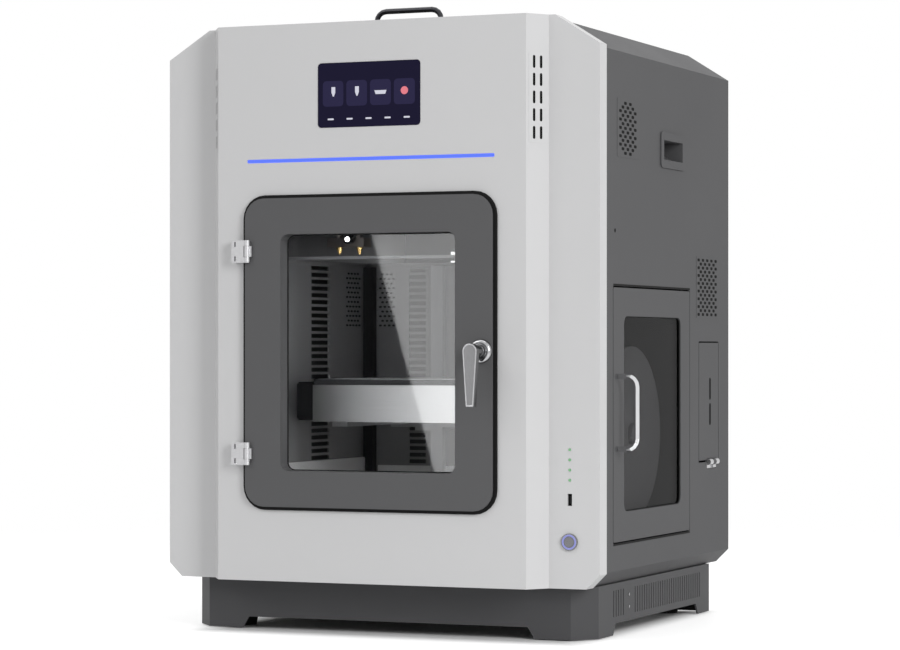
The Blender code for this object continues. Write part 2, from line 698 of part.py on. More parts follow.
def grip_cup(side, name):
    """A moulded pocket that hangs in a window of the side panel, with a flange outside and a sloped back."""
    face = BODY_HALF
    y, z = grown(GRIP_Y, -GAP), grown(GRIP_Z, -GAP)
    outer = face + GAP + 0.8 * MM
    thin = GRIP_T
    deep = face - GRIP_DEEP
    slope = [(outer, z[0]), (outer, z[1]), (deep, z[1]), (deep, z[1] - 14 * MM), (face - 8 * MM, z[0])]
    inside = [(outer + SPARE, z[0] + thin), (outer + SPARE, z[1] - thin), (deep + thin, z[1] - thin),
              (deep + thin, z[1] - 14 * MM + thin / 2), (face - 7 * MM, z[0] + thin)]
    flip = mirrored if side < 0 else list
    cup = made(name, prism(flip(slope), "xz", *y), BLACK_PLASTIC)
    cup.data.materials[0] = DARK_PAINT
    flange = (grown(y, GRIP_FLANGE), grown(z, GRIP_FLANGE))
    lip = (face + GAP, face + GAP + 1.2 * MM)
    join(cup, prism(span_rounded(*flange, 5 * MM), "yz", *((-lip[1], -lip[0]) if side < 0 else lip)))
    cut(cup, prism(flip(inside), "xz", y[0] + thin, y[1] - thin))


def rear_panel():
    panel = made("rear_panel", prism(body_outline(), "xz", BODY_BACK - SHEET, BODY_BACK), DARK_PAINT)
    through = (BODY_BACK - 4 * SHEET, BODY_BACK + 4 * SHEET)
    slots = []
    for column in (-1, 1):
        middle = column * REAR_SLOT_X
        for row in range(REAR_SLOT_ROWS):
            z = REAR_SLOT_TOP - REAR_SLOT_PITCH * row
            slots.append(block((middle - REAR_SLOT_L / 2, middle + REAR_SLOT_L / 2), through,
                               (z - REAR_SLOT_H / 2, z + REAR_SLOT_H / 2)))
    slots.append(block(INLET_X, through, INLET_Z))
    cut(panel, together(*slots))
    ears = []
    for side in (-1, 1):
        x = side * (LID_LUG_X + LID_LUG_W)
        ears.append(block((x - 3 * MM, x + 3 * MM), (BODY_BACK - SHEET, BODY_BACK),
                          (BODY_TOP - 20 * MM, LID_AXIS_Z)))
        ears.append(rod("x", (0, LID_AXIS_Y, LID_AXIS_Z), LUG_R, x - 3 * MM, x + 3 * MM, sides=16))
    for ear in ears:
        join(panel, ear)
    cut(panel, rod("x", (0, LID_AXIS_Y, LID_AXIS_Z), LID_ROD_R + GAP, -BODY_HALF, BODY_HALF))
    relief = LUG_R + 1 * MM
    cut(panel, together(*[block((side * LID_LUG_X - LID_LUG_W / 2 - GAP * 2,
                                 side * LID_LUG_X + LID_LUG_W / 2 + GAP * 2),
                                through, (LID_AXIS_Z - relief, LID_AXIS_Z + relief)) for side in (-1, 1)]))
    made("lid_hinge_rod", rod("x", (0, LID_AXIS_Y, LID_AXIS_Z), LID_ROD_R, -LID_LUG_X - LID_LUG_W - 6 * MM,
                              LID_LUG_X + LID_LUG_W + 6 * MM), STEEL, smooth=True)


def mains_inlet():
    seat = BODY_BACK + GAP
    inlet = made("mains_inlet", block(grown(INLET_X, 6 * MM), (seat, seat + INLET_FLANGE),
                                      grown(INLET_Z, 5 * MM)), BLACK_PLASTIC)
    join(inlet, block(grown(INLET_X, -GAP), (BODY_BACK - 32 * MM, seat + 1 * MM), grown(INLET_Z, -GAP)))
    cut(inlet, block(grown(INLET_X, -10 * MM), (BODY_BACK - 16 * MM, seat + 20 * MM),
                     grown(INLET_Z, -5 * MM)))


def floor_pan():
    half = BODY_HALF - BEVEL - GAP - SHEET
    z = (BODY_LOW + SHEET + GAP, BODY_LOW + 2 * SHEET + GAP)
    made("floor_pan", block((-half, half), (PANEL_FRONT + GAP, PANEL_BACK - GAP), z), DARK_PAINT)


def base_plinth():
    cx, cy = PLINTH_CHAMFER
    half = PLINTH_HALF
    top = BODY_LOW - GAP
    plan = [(-half + cx, PLINTH_FRONT), (half - cx, PLINTH_FRONT), (half, PLINTH_FRONT + cy),
            (half, PLINTH_BACK),
            (-half, PLINTH_BACK), (-half, PLINTH_FRONT + cy)]
    lift = 1 * MM
    plinth = made("base_plinth", prism(plan, "xy", lift, top), DARK_PAINT)
    cut(plinth, prism(shrunk(plan, SHEET), "xy", -10 * MM, top - SHEET))
    rim = 45 * MM
    cut(plinth, block((rim - half, half - rim), (PLINTH_FRONT + rim, PLINTH_BACK - rim),
                      (top - 3 * SHEET, top + 10 * MM)))
    through = (PLINTH_FRONT - 30 * MM, PLINTH_BACK + 30 * MM)
    wide = ARCH_FRONT_X
    front = [(-wide - ARCH_SLOPE, -5 * MM), (wide + ARCH_SLOPE, -5 * MM), (wide + ARCH_SLOPE, 0),
             (wide, ARCH_H), (-wide, ARCH_H), (-wide - ARCH_SLOPE, 0)]
    cut(plinth, prism(front, "xz", *through))
    y0, y1 = ARCH_SIDE_Y
    flank = [(y0 - ARCH_SLOPE, -5 * MM), (y1 + ARCH_SLOPE, -5 * MM), (y1 + ARCH_SLOPE, 0), (y1, ARCH_H),
             (y0, ARCH_H), (y0 - ARCH_SLOPE, 0)]
    cut(plinth, prism(flank, "yz", -half - 30 * MM, half + 30 * MM))
    louvres = []
    for start, count in LOUVRE_GROUPS:
        for i in range(count):
            y = start + i * LOUVRE_PITCH
            for side in (-1, 1):
                x = sorted((side * (half - 3 * SHEET), side * (half + 3 * SHEET)))
                louvres.append(block(x, (y, y + LOUVRE_W), LOUVRE_Z))
    cut(plinth, together(*louvres))
    for y in FOOT_Y:
        for side, name in ((-1, "left"), (1, "right")):
            x = sorted((side * (FOOT_X - FOOT_R - 4 * MM), side * (half - SHEET / 2)))
            depth = (y - FOOT_R - 4 * MM, y + FOOT_R + 4 * MM)
            join(plinth, block(x, depth, (FOOT_TOP + GAP, FOOT_TOP + GAP + SHEET)))
            end = "front" if y == FOOT_Y[0] else "rear"
            made(f"{end}_{name}_foot", rod("z", (side * FOOT_X, y, 0), FOOT_R * 0.85, 0, FOOT_TOP, 20,
                                           FOOT_R), RUBBER, smooth=True)


# Front door

DOOR_BACK = -(GASKET_T + 2 * GAP)
DOOR_PIVOT = (HINGE_X, HINGE_Y, DOOR_Z)


def front_door():
    outer = rounded(DOOR_W, DOOR_H, DOOR_R, (0, DOOR_Z), 6)
    axis = pivot("front_door_axis", DOOR_PIVOT)
    panel = made("door_panel", prism(outer, "xz", DOOR_FRONT, DOOR_FRONT + DOOR_SKIN), DARK_PAINT, axis)
    inner = rounded(DOOR_W - 2 * DOOR_EDGE, DOOR_H - 2 * DOOR_EDGE, DOOR_R - DOOR_EDGE, (0, DOOR_Z), 4)
    join(panel, prism(inner, "xz", DOOR_FRONT + DOOR_SKIN / 2, DOOR_BACK))
    plug_w, plug_h = OPENING_W - 2 * PLUG_CLEAR, OPENING_H - 2 * PLUG_CLEAR
    join(panel, prism(rounded(plug_w, plug_h, PLUG_R, (0, DOOR_Z), 3), "xz", DOOR_BACK - 1 * MM, PLUG_BACK))
    cut(panel, prism(rounded(WINDOW_W, WINDOW_H, WINDOW_R, (0, DOOR_Z), 4), "xz", -40 * MM, 60 * MM))
    lap = (WINDOW_W + 2 * GLASS_LAP, WINDOW_H + 2 * GLASS_LAP)
    cut(panel, prism(rounded(*lap, WINDOW_R, (0, DOOR_Z), 2), "xz", GLASS_Y, 60 * MM))
    cut(panel, rod("y", (LEVER_X, 0, LEVER_Z), SPINDLE_R + GAP, -40 * MM, 60 * MM, sides=16))
    made("door_glass", prism(rounded(lap[0] - 2 * GAP, lap[1] - 2 * GAP, WINDOW_R, (0, DOOR_Z), 2), "xz",
                             GLASS_Y + GAP, GLASS_Y + GAP + GLASS_T), GLASS, axis)
    seal = prism(rounded(DOOR_W + 2 * GASKET_OUT, DOOR_H + 2 * GASKET_OUT, DOOR_R + GASKET_OUT, (0, DOOR_Z),
                         6), "xz",
                 -GAP - GASKET_T, -GAP)
    gasket = made("door_gasket", seal, RUBBER)
    hole_w, hole_h = DOOR_W + 2 * (GASKET_OUT - GASKET_W), DOOR_H + 2 * (GASKET_OUT - GASKET_W)
    cut(gasket, prism(rounded(hole_w, hole_h, DOOR_R + GASKET_OUT - GASKET_W, (0, DOOR_Z), 4), "xz",
                      -20 * MM, 20 * MM))
    for which, z in HINGE_ZS.items():
        door_hinge(which, z, axis)
    door_lever(axis)


PLUG_CLEAR = 3 * MM               # clearance round the door's inner plug in the chamber opening
PLUG_R = 9 * MM
PLUG_BACK = 18 * MM
GLASS_Y = PLUG_BACK - GLASS_T - 2 * GAP


def door_hinge(which, z, axis):
    """A cast hinge plate with its pin and two outer knuckles, and the door's middle knuckle."""
    low, high = z - HINGE_H / 2, z + HINGE_H / 2
    quarter = HINGE_H / 4
    barrel = (HINGE_X, HINGE_Y, 0)
    clear = 0.8 * MM
    plate_x = (HINGE_PLATE_X, -DOOR_W / 2 - GASKET_OUT - clear)
    plate = made(f"{which}_hinge_plate", block(plate_x, (HINGE_Y - 1 * MM, -GAP), (low, high)), STEEL)
    arm = (plate_x[1] - 1 * MM, HINGE_X)
    for ends in ((low, low + quarter), (high - quarter, high)):
        join(plate, block(arm, (HINGE_Y - 1 * MM, HINGE_Y + 1.4 * MM), ends))
        join(plate, rod("z", barrel, HINGE_R, *ends, sides=16))
    bridge = (arm[0], HINGE_X - HINGE_R - 2 * GAP)
    join(plate, block(bridge, (HINGE_Y - 0.9 * MM, HINGE_Y + 1.3 * MM),
                      (low + quarter / 2, high - quarter / 2)))
    join(plate, rod("z", barrel, HINGE_PIN_R, low + quarter / 2, high - quarter / 2))
    for side in (-1, 1):
        notch = z + side * HINGE_H * 0.32
        cut(plate, block((plate_x[0] + 3.5 * MM, plate_x[0] + 5.5 * MM),
                         (HINGE_Y - 5 * MM, HINGE_Y + 2 * MM),
                         (notch - 2.6 * MM, notch + 2.6 * MM)))
    inner = (low + quarter + GAP, high - quarter - GAP)
    leaf = made(f"{which}_hinge_knuckle", rod("z", barrel, HINGE_R, *inner, sides=16), STEEL, axis)
    join(leaf, block((HINGE_X - 1 * MM, HINGE_X + 5 * MM), (HINGE_Y, DOOR_FRONT - GAP), inner))
    cut(leaf, rod("z", barrel, HINGE_PIN_R + GAP, low, high))


def door_lever(axis):
    """Rosette on the door; spindle, lever arm and latch cam turn together."""
    seat = DOOR_FRONT - GAP
    centre = (LEVER_X, 0, LEVER_Z)
    rosette = made("lever_rosette", rod("y", centre, ROSETTE_R * 0.72, seat - ROSETTE_T, seat, 24,
                                        ROSETTE_R), STEEL, axis, smooth=True)
    cut(rosette, rod("y", centre, SPINDLE_R + GAP, -60 * MM, 20 * MM, sides=16))
    turn = pivot("door_lever_axis", (LEVER_X, DOOR_FRONT, LEVER_Z), axis)
    face = DOOR_FRONT - LEVER_STAND
    half, tip = LEVER_W / 2, LEVER_TIP_W / 2
    arm = [(LEVER_X - tip, LEVER_Z - LEVER_L), (LEVER_X + tip, LEVER_Z - LEVER_L),
           (LEVER_X + half, LEVER_Z),
           *arc((LEVER_X, LEVER_Z), half, 20, 160, 6), (LEVER_X - half, LEVER_Z)]
    lever = made("door_lever", prism(arm, "xz", face, face + LEVER_T), STEEL, turn)
    join(lever, rod("y", centre, half - 2 * MM, face + LEVER_T / 2, seat - ROSETTE_T - GAP, 20,
                    half - 0.5 * MM))
    join(lever, rod("y", centre, SPINDLE_R, seat - ROSETTE_T - 2 * MM, CAM_Y[1] + 3 * MM, sides=16))
    cam = made("latch_cam", prism([*arc((LEVER_X, LEVER_Z), CAM_HALF, 180, 360, 6),
                                   (LEVER_X + CAM_HALF * 0.7, LEVER_Z + CAM_L), (LEVER_X - CAM_HALF * 0.7,
                                           LEVER_Z + CAM_L)],
                                  "xz", *CAM_Y), BRUSHED, turn)
    cut(cam, rod("y", centre, SPINDLE_R + GAP, -20 * MM, 60 * MM, sides=16))


CAM_Y = (PLUG_BACK + GAP, PLUG_BACK + GAP + CAM_T)


# Side door and its filament bay

def side_door():
    axis = pivot("side_door_axis", (SIDE_AXIS_X, SIDE_AXIS_Y, (SIDE_DOOR_Z[0] + SIDE_DOOR_Z[1]) / 2))
    y, z = grown(SIDE_DOOR_Y, -SIDE_GAP), grown(SIDE_DOOR_Z, -SIDE_GAP)
    inner_x = BODY_HALF - SIDE_DOOR_DEEP
    door = made("side_door_panel", prism(span_rounded(y, z, 2 * MM), "yz", inner_x, BODY_HALF), DARK_PAINT,
                axis)
    cut(door, block((inner_x - 10 * MM, BODY_HALF - SHEET), grown(y, -SHEET), grown(z, -SHEET)))
    cut(door, prism(span_rounded(SIDE_WIN_Y, SIDE_WIN_Z, SIDE_WIN_R), "yz", inner_x - 10 * MM,
                    BODY_HALF + 10 * MM))
    spindle = (SIDE_AXIS_X, SIDE_AXIS_Y, 0)
    cut(door, rod("z", spindle, SIDE_ROD_R + GAP, z[0] - 10 * MM, z[1] + 10 * MM))
    pane = BODY_HALF - SHEET - GAP
    made("side_window",
         prism(span_rounded(grown(SIDE_WIN_Y, 8 * MM), grown(SIDE_WIN_Z, 8 * MM), SIDE_WIN_R), "yz",
                              pane - SIDE_GLASS_T, pane), SMOKED, axis)
    bow("side_handle", (1, 0, 0), (0, 0, 1), (BODY_HALF, SIDE_HANDLE_Y, SIDE_HANDLE_Z), STEEL, axis)
    made("side_hinge_rod", rod("z", spindle, SIDE_ROD_R, BAY_Z[0] - 3 * MM, BAY_Z[1] + 3 * MM), STEEL,
         smooth=True)


def filament_bay():
    rim = BODY_HALF - SHEET - GAP
    bay = made("spool_bay", block((BAY_X, rim), BAY_Y, BAY_Z), LINER_PAINT)
    cut(bay, block((BAY_X + BAY_T, rim + 10 * MM), grown(BAY_Y, -BAY_T), grown(BAY_Z, -BAY_T)))
    cut(bay, rod("z", (SIDE_AXIS_X, SIDE_AXIS_Y, 0), SIDE_ROD_R + GAP, BAY_Z[0] - 10 * MM,
                 BAY_Z[1] + 10 * MM))
    centre = (0, SPOOL_Y, SPOOL_Z)
    root = BAY_X + BAY_T + GAP
    shaft = made("spool_shaft", rod("x", centre, SHAFT_R + 12 * MM, root, root + 3 * MM, sides=24), BRUSHED,
                 smooth=True)
    join(shaft, rod("x", centre, SHAFT_R, root, SPOOL_OUT_X + 4 * MM, sides=20))
    axis = pivot("spool_axis", (SPOOL_OUT_X, SPOOL_Y, SPOOL_Z))
    low, high = SPOOL_OUT_X - SPOOL_W, SPOOL_OUT_X
    spool = made("filament_spool", rod("x", centre, SPOOL_R, low, low + SPOOL_FLANGE, sides=40),
                 BLACK_PLASTIC, axis, smooth=True)
    join(spool, rod("x", centre, SPOOL_HUB_R, low + SPOOL_FLANGE / 2, high - SPOOL_FLANGE / 2, sides=24))
    join(spool, rod("x", centre, SPOOL_R, high - SPOOL_FLANGE, high, sides=40))
    cut(spool, rod("x", centre, SHAFT_R + GAP, low - 10 * MM, high + 10 * MM, sides=20))
    wound = made("wound_filament", rod("x", centre, WOUND_R, low + SPOOL_FLANGE + GAP,
                                       high - SPOOL_FLANGE - GAP, sides=40),
                 FILAMENT, axis, smooth=True)
    cut(wound, rod("x", centre, SPOOL_HUB_R + GAP, low - 10 * MM, high + 10 * MM, sides=24))


FLAP_AXIS = (BODY_HALF + FLAP_HINGE_OUT, (FLAP_HINGE_Y[0] + FLAP_HINGE_Y[1]) / 2, FLAP_Z[0])


def filter_flap():
    """Drop-down flap over the air filter, on a small barrel hinge along its lower edge."""
    axis = pivot("filter_flap_axis", FLAP_AXIS)
    y, z = grown(FLAP_Y, -SIDE_GAP), grown(FLAP_Z, -SIDE_GAP)
    z = (FLAP_Z[0] + FLAP_LIFT, z[1])
    flap = made("filter_flap", prism(span_rounded(y, z, 1.5 * MM), "yz", BODY_HALF - SHEET, BODY_HALF),
                DARK_PAINT, axis)
    cut(flap, together(*[block((BODY_HALF - 20 * MM, BODY_HALF + 20 * MM),
                               (FLAP_SLOT_Y - FLAP_SLOT_W / 2, FLAP_SLOT_Y + FLAP_SLOT_W / 2), span)
                         for span in FLAP_SLOT_Z]))
    x, middle, low = FLAP_AXIS
    third = (FLAP_HINGE_Y[1] - FLAP_HINGE_Y[0]) / 3
    inner = (FLAP_HINGE_Y[0] + third + GAP, FLAP_HINGE_Y[1] - third - GAP)
    cut(flap, rod("y", (x, 0, low), FLAP_HINGE_R + 2 * GAP, *grown(FLAP_HINGE_Y, GAP), sides=14))
    join(flap, rod("y", (x, 0, low), FLAP_HINGE_R, *inner, sides=14))
    join(flap, block((BODY_HALF - SHEET * 0.9, BODY_HALF - SHEET * 0.1), inner,
                     (low + 1 * MM, low + 4 * FLAP_LIFT)))
    cut(flap, rod("y", (x, 0, low), HINGE_PIN_R + GAP, FLAP_HINGE_Y[0], FLAP_HINGE_Y[1]))
    hinge = made("flap_hinge", rod("y", (x, 0, low), HINGE_PIN_R, FLAP_HINGE_Y[0] + 1 * MM,
                                   FLAP_HINGE_Y[1] - 1 * MM), STEEL)
    for ends in ((FLAP_HINGE_Y[0], FLAP_HINGE_Y[0] + third), (FLAP_HINGE_Y[1] - third, FLAP_HINGE_Y[1])):
        join(hinge, rod("y", (x, 0, low), FLAP_HINGE_R, *ends, sides=14))
        join(hinge, block((BODY_HALF - SHEET, BODY_HALF), ends, (low - 2 * FLAP_HINGE_R, low - 1 * MM)))
    plate = BODY_HALF - SHEET - GAP
    join(hinge, block((plate - 1.5 * MM, plate), FLAP_HINGE_Y, (low - 14 * MM, low - 3 * MM)))
    join(hinge, block((plate - 1 * MM, BODY_HALF - SHEET + 0.5 * MM), FLAP_HINGE_Y,
                      (low - 2 * FLAP_HINGE_R, low - 3 * MM)))


FLAP_LIFT = 2.2 * MM              # lower edge of the flap above its hinge axis


# Lid

def top_lid():
    axis = pivot("lid_axis", (0, LID_AXIS_Y, LID_AXIS_Z))
    half = SHOULDER_X - 2 * GAP
    z = (LEDGE_Z + GAP, LEDGE_Z + GAP + LID_T)
    lid = made("top_lid", block((-half, half), (LID_FRONT, LID_BACK), z), DARK_PAINT, axis)
    cut(lid, block((-half + SHEET, half - SHEET), (LID_FRONT + SHEET, LID_BACK - SHEET),
                   (z[0] - 10 * MM, z[1] - SHEET)))
    for side in (-1, 1):
        x = side * LID_LUG_X
        width = (x - LID_LUG_W / 2, x + LID_LUG_W / 2)
        join(lid, block(width, (LID_BACK - 3 * MM, LID_AXIS_Y),
                        (z[1] - SHEET, LID_AXIS_Z + LUG_R - 1 * MM)))
        join(lid, rod("x", (0, LID_AXIS_Y, LID_AXIS_Z), LUG_R, *width, sides=16))
    cut(lid, rod("x", (0, LID_AXIS_Y, LID_AXIS_Z), LID_ROD_R + GAP, -BODY_HALF, BODY_HALF))
    bow("lid_handle", (0, 0, 1), (1, 0, 0), (0, LID_HANDLE_Y, z[1]), STEEL, axis)


# Chamber

def chamber():
    half, back = CHAMBER_HALF, CHAMBER_BACK
    t = LINER_T
    plan = [(-half, CHAMBER_FRONT), (-half, back), (half, back), (half, CHAMBER_FRONT)]
    liner = made("chamber_liner", prism(folded(plan, t), "xy", CHAMBER_LOW, CHAMBER_TOP), LINER_PAINT)
    rungs = []
    for side in (-1, 1):
        wall = sorted((side * (half - 4 * t), side * (half + 4 * t)))
        for i in range(RUNG_COUNT):
            top = CHAMBER_TOP - 3 * MM - i * RUNG_PITCH
            rungs.append(block(wall, RUNG_Y, (top - RUNG_H, top)))
            ladder = sorted((side * RUNG_X[0], side * RUNG_X[1]))
            rungs.append(block(ladder, (back - 4 * t, back + 4 * t), (top - RUNG_H, top)))
    cut(liner, together(*rungs))
    rows, columns = CHAMBER_VENT_ROWS, CHAMBER_VENT_COLS
    pitch = CHAMBER_VENT_PITCH
    mid_z = CHAMBER_VENT_Z - (rows - 1) / 2 * pitch[1]
    fields = []
    for side in (-1, 1):
        wall = sorted((side * (half - 4 * t), side * (half + 4 * t)))
        if side < 0:
            fields.append(vent_field((CHAMBER_VENT_Y, mid_z), rows, columns, pitch, CHAMBER_VENT_R, "x",
                                     wall, False, 4))
        fields.append(vent_field((side * CHAMBER_VENT_X, mid_z), rows, columns, pitch, CHAMBER_VENT_R, "y",
                                 (back - 4 * t, back + 4 * t), False, 4))
    cut(liner, together(*fields))
    floor_x = half - GAP
    floor = made("chamber_floor", block((-floor_x, floor_x), (CHAMBER_FRONT, back - GAP),
                                        (CHAMBER_LOW, CHAMBER_LOW + t)), LINER_PAINT)
    cut(floor, rod("z", (0, SCREW_Y, 0), SCREW_R + 2 * MM, CHAMBER_LOW - 10 * MM, CHAMBER_LOW + 10 * MM))


# Z axis and bed

FLOOR_TOP = CHAMBER_LOW + LINER_T
SEAT_Y = CHAMBER_BACK - GAP
RAIL_FRONT = SEAT_Y - RAIL_D


def z_axis():
    for side, name in ((-1, "left"), (1, "right")):
        x = side * RAIL_X
        section = [(x - RAIL_W / 2, RAIL_FRONT), (x + RAIL_W / 2, RAIL_FRONT),
                   (x + RAIL_W / 2, SEAT_Y - RAIL_D * 0.65),
                   (x + RAIL_W * 0.38, SEAT_Y - RAIL_D * 0.5), (x + RAIL_W / 2,
                           SEAT_Y - RAIL_D * 0.35), (x + RAIL_W / 2, SEAT_Y),
                   (x - RAIL_W / 2, SEAT_Y), (x - RAIL_W / 2, SEAT_Y - RAIL_D * 0.35), (x - RAIL_W * 0.38,
                           SEAT_Y - RAIL_D * 0.5),
                   (x - RAIL_W / 2, SEAT_Y - RAIL_D * 0.65)]
        made(f"z_rail_{name}", prism(section, "xy", FLOOR_TOP + GAP, CHAMBER_TOP - GAP), BRUSHED)
    motor_top = CHAMBER_LOW - GAP
    motor = (motor_top - Z_MOTOR_H, motor_top)
    half = MOTOR_W / 2
    body = made("z_motor", block((-half, half), (SCREW_Y - half, SCREW_Y + half), motor), BLACK_PLASTIC)
    soften(body, 3 * MM, 1)
    cut(body, rod("z", (0, SCREW_Y, 0), SCREW_R + GAP, motor[1] - 20 * MM, motor[1] + 10 * MM))
    axis = pivot("z_screw_axis", (0, SCREW_Y, FLOOR_TOP))
    made("z_screw", rod("z", (0, SCREW_Y, 0), SCREW_R, motor[1] - 20 * MM + GAP, CHAMBER_TOP - 2 * MM,
                        sides=16), STEEL, axis, smooth=True)


def bed():
    axis = pivot("bed_axis", (0, SCREW_Y, CARRIAGE_Z[0]))
    low, high = CARRIAGE_Z
    plate_y = (RAIL_FRONT - 26 * MM, RAIL_FRONT - 20 * MM)
    reach = ARM_X + 12 * MM
    carriage = made("bed_carriage", block((-reach, reach), plate_y, (low, high)), BRUSHED, axis)
    middle = (plate_y[0] + plate_y[1]) / 2
    for side in (-1, 1):
        x = side * RAIL_X
        join(carriage, block((x - 17 * MM, x + 17 * MM), (middle, SEAT_Y - 3 * MM),
                             (low - 4 * MM, high + 4 * MM)))
        arm = side * ARM_X
        join(carriage, block((arm - 9 * MM, arm + 9 * MM), (BED_FRONT + 20 * MM, middle - 1 * MM),
                             (low + 4 * MM, high - 3 * MM)))
        for y in (BED_FRONT + 30 * MM, plate_y[0] - 14 * MM):
            join(carriage, rod("z", (arm, y, 0), 7 * MM, high - 8 * MM, BED_UNDER - GAP))
    join(carriage, block((-15 * MM, 15 * MM), (middle + 1 * MM, SCREW_Y + 9 * MM),
                         (low + 2 * MM, high - 2 * MM)))
    cut(carriage, rod("z", (0, SCREW_Y, 0), SCREW_R + GAP, low - 10 * MM, high + 10 * MM, sides=16))
    for side in (-1, 1):
        x = side * RAIL_X
        cut(carriage, block((x - RAIL_W / 2 - GAP, x + RAIL_W / 2 + GAP),
                            (RAIL_FRONT - GAP, SEAT_Y + 10 * MM), (low - 10 * MM, high + 10 * MM)))
    top = (BED_UNDER, BED_TOP_Z)
    back = BED_FRONT + BED_DEPTH
    made("heated_bed", prism(rounded(2 * BED_HALF, BED_DEPTH, 4 * MM, (0, (BED_FRONT + back) / 2), 3), "xy",
                             *top), BRUSHED, axis)
    cover = made("bed_front_cover", block((-BED_HALF, BED_HALF), (BED_FRONT, BED_FRONT + BED_COVER_T),
                                          (BED_UNDER - GAP - BED_COVER_H, BED_UNDER - GAP)), BRUSHED, axis)
    join(cover, block((-BED_HALF, BED_HALF), (BED_FRONT + BED_COVER_T / 2, BED_FRONT + 19 * MM),
                      (BED_UNDER - GAP - BED_COVER_T, BED_UNDER - GAP)))


BED_UNDER = BED_TOP_Z - BED_T


# Gantry and print head

DECK_Z = (CHAMBER_TOP + GAP, CHAMBER_TOP + GAP + DECK_T)


def gantry():
    half = BODY_HALF - SHEET - GAP
    deck = made("gantry_deck", block((-half, half), (PANEL_FRONT + GAP, PANEL_BACK - GAP), DECK_Z),
                LINER_PAINT)
    hole = CHAMBER_HALF - 1 * MM
    cut(deck, block((-hole, hole), (PANEL_FRONT + 6 * MM, CHAMBER_BACK - 1 * MM),
                    (DECK_Z[0] - 10 * MM, DECK_Z[1] + 10 * MM)))
    shelf = Y_RAIL_TOP - Y_RAIL_H
    for side, name in ((-1, "left"), (1, "right")):
        x = side * Y_RAIL_X
        w, r = Y_BEAM_W / 2, Y_RAIL_W / 2
        section = [(x - w, DECK_Z[1] + GAP), (x + w, DECK_Z[1] + GAP), (x + w, shelf), (x + r, shelf),
                   (x + r, Y_RAIL_TOP),
                   (x - r, Y_RAIL_TOP), (x - r, shelf), (x - w, shelf)]
        made(f"y_rail_{name}", prism(section, "xz", *Y_RAIL_SPAN), BRUSHED)
    axis = pivot("gantry_axis", (0, BEAM_Y, BEAM_Z[0]))
    reach = Y_RAIL_X + 14 * MM
    beam = made("x_beam", block((-reach, reach), (BEAM_Y - BEAM_W / 2, BEAM_Y + BEAM_W / 2), BEAM_Z),
                BRUSHED, axis)
    for side in (-1, 1):
        x = side * Y_RAIL_X
        join(beam, block((x - 14 * MM, x + 14 * MM), (BEAM_Y - 22 * MM, BEAM_Y + 22 * MM),
                         (shelf + 3 * MM, BEAM_Z[0] + 1 * MM)))
        cut(beam, block((x - Y_RAIL_W / 2 - GAP, x + Y_RAIL_W / 2 + GAP), (0, BODY_BACK),
                        (0, Y_RAIL_TOP + GAP)))
    motor_x = reach + GAP
    motor = made("x_motor", block((motor_x, motor_x + 34 * MM),
                                  (BEAM_Y - MOTOR_W / 2, BEAM_Y + MOTOR_W / 2), (BEAM_Z[0] - 6 * MM,
            BEAM_Z[0] - 6 * MM + MOTOR_W)), BLACK_PLASTIC, axis)
    soften(motor, 3 * MM, 1)
    head_axis = pivot("print_head_axis", (HEAD_X, HEAD_Y, BEAM_Z[0]), axis)
    w = HEAD_W / 2
    front = HEAD_Y - 24 * MM
    rear = BEAM_Y - BEAM_W / 2 - GAP
    head = made("print_head", block((HEAD_X - w, HEAD_X + w), (front, rear),
                                    (NOZZLE_Z + 24 * MM, BEAM_Z[1] + 14 * MM)), BLACK_PLASTIC, head_axis)
    soften(head, 4 * MM, 2)
    join(head, block((HEAD_X - w + 6 * MM, HEAD_X + w - 6 * MM),
                     (rear - 2 * MM, BEAM_Y + BEAM_W / 2 + 7 * MM), (BEAM_Z[1] + GAP, BEAM_Z[1] + 10 * MM)))
    join(head, block((HEAD_X - w + 6 * MM, HEAD_X + w - 6 * MM),
                     (BEAM_Y + BEAM_W / 2 + GAP, BEAM_Y + BEAM_W / 2 + 7 * MM), (BEAM_Z[0],
            BEAM_Z[1] + 5 * MM)))
    heater = (NOZZLE_Z + 8 * MM, NOZZLE_Z + 18 * MM)
    hot = made("hot_end", block((HEAD_X - 22 * MM, HEAD_X + 22 * MM), (HEAD_Y - 11 * MM, HEAD_Y + 9 * MM),
                                heater), BRUSHED, head_axis)
    for side, name in ((-1, "left"), (1, "right")):
        x = HEAD_X + side * NOZZLE_SPREAD
        join(hot, rod("z", (x, HEAD_Y, 0), 4 * MM, heater[1] - 1 * MM, NOZZLE_Z + 24 * MM - GAP, sides=12))
        made(f"{name}_nozzle", rod("z", (x, HEAD_Y, 0), 1.2 * MM, NOZZLE_Z, heater[0] - GAP, 12, 4 * MM),
             BRASS, head_axis, smooth=True)


def power_supply():
    z = BODY_LOW + 2 * SHEET + 2 * GAP
    supply = made("power_supply", block(SUPPLY_X, SUPPLY_Y, (z, z + SUPPLY_H)), BRUSHED)
    slots = []
    for i in range(SUPPLY_SLOTS):
        y = SUPPLY_Y[0] + 20 * MM + i * SUPPLY_PITCH
        slots.append(block(grown(SUPPLY_X, 15 * MM), (y, y + SUPPLY_PITCH / 2),
                           (z + SUPPLY_H * 0.8, z + SUPPLY_H * 1.2)))
    cut(supply, together(*slots))


def build():
    front_fascia()
    front_controls()
    side_panels()
    grip_cup(1, "right_grip_cup")
    grip_cup(-1, "left_grip_cup")
    rear_panel()
    mains_inlet()
    floor_pan()
    base_plinth()
    front_door()
    side_door()
    filament_bay()
    filter_flap()
    top_lid()
    chamber()
    z_axis()
    bed()
    gantry()
    power_supply()
    bpy.context.view_layer.update()


build()
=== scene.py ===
import math
import bmesh
import bpy
from mathutils import Matrix, Vector


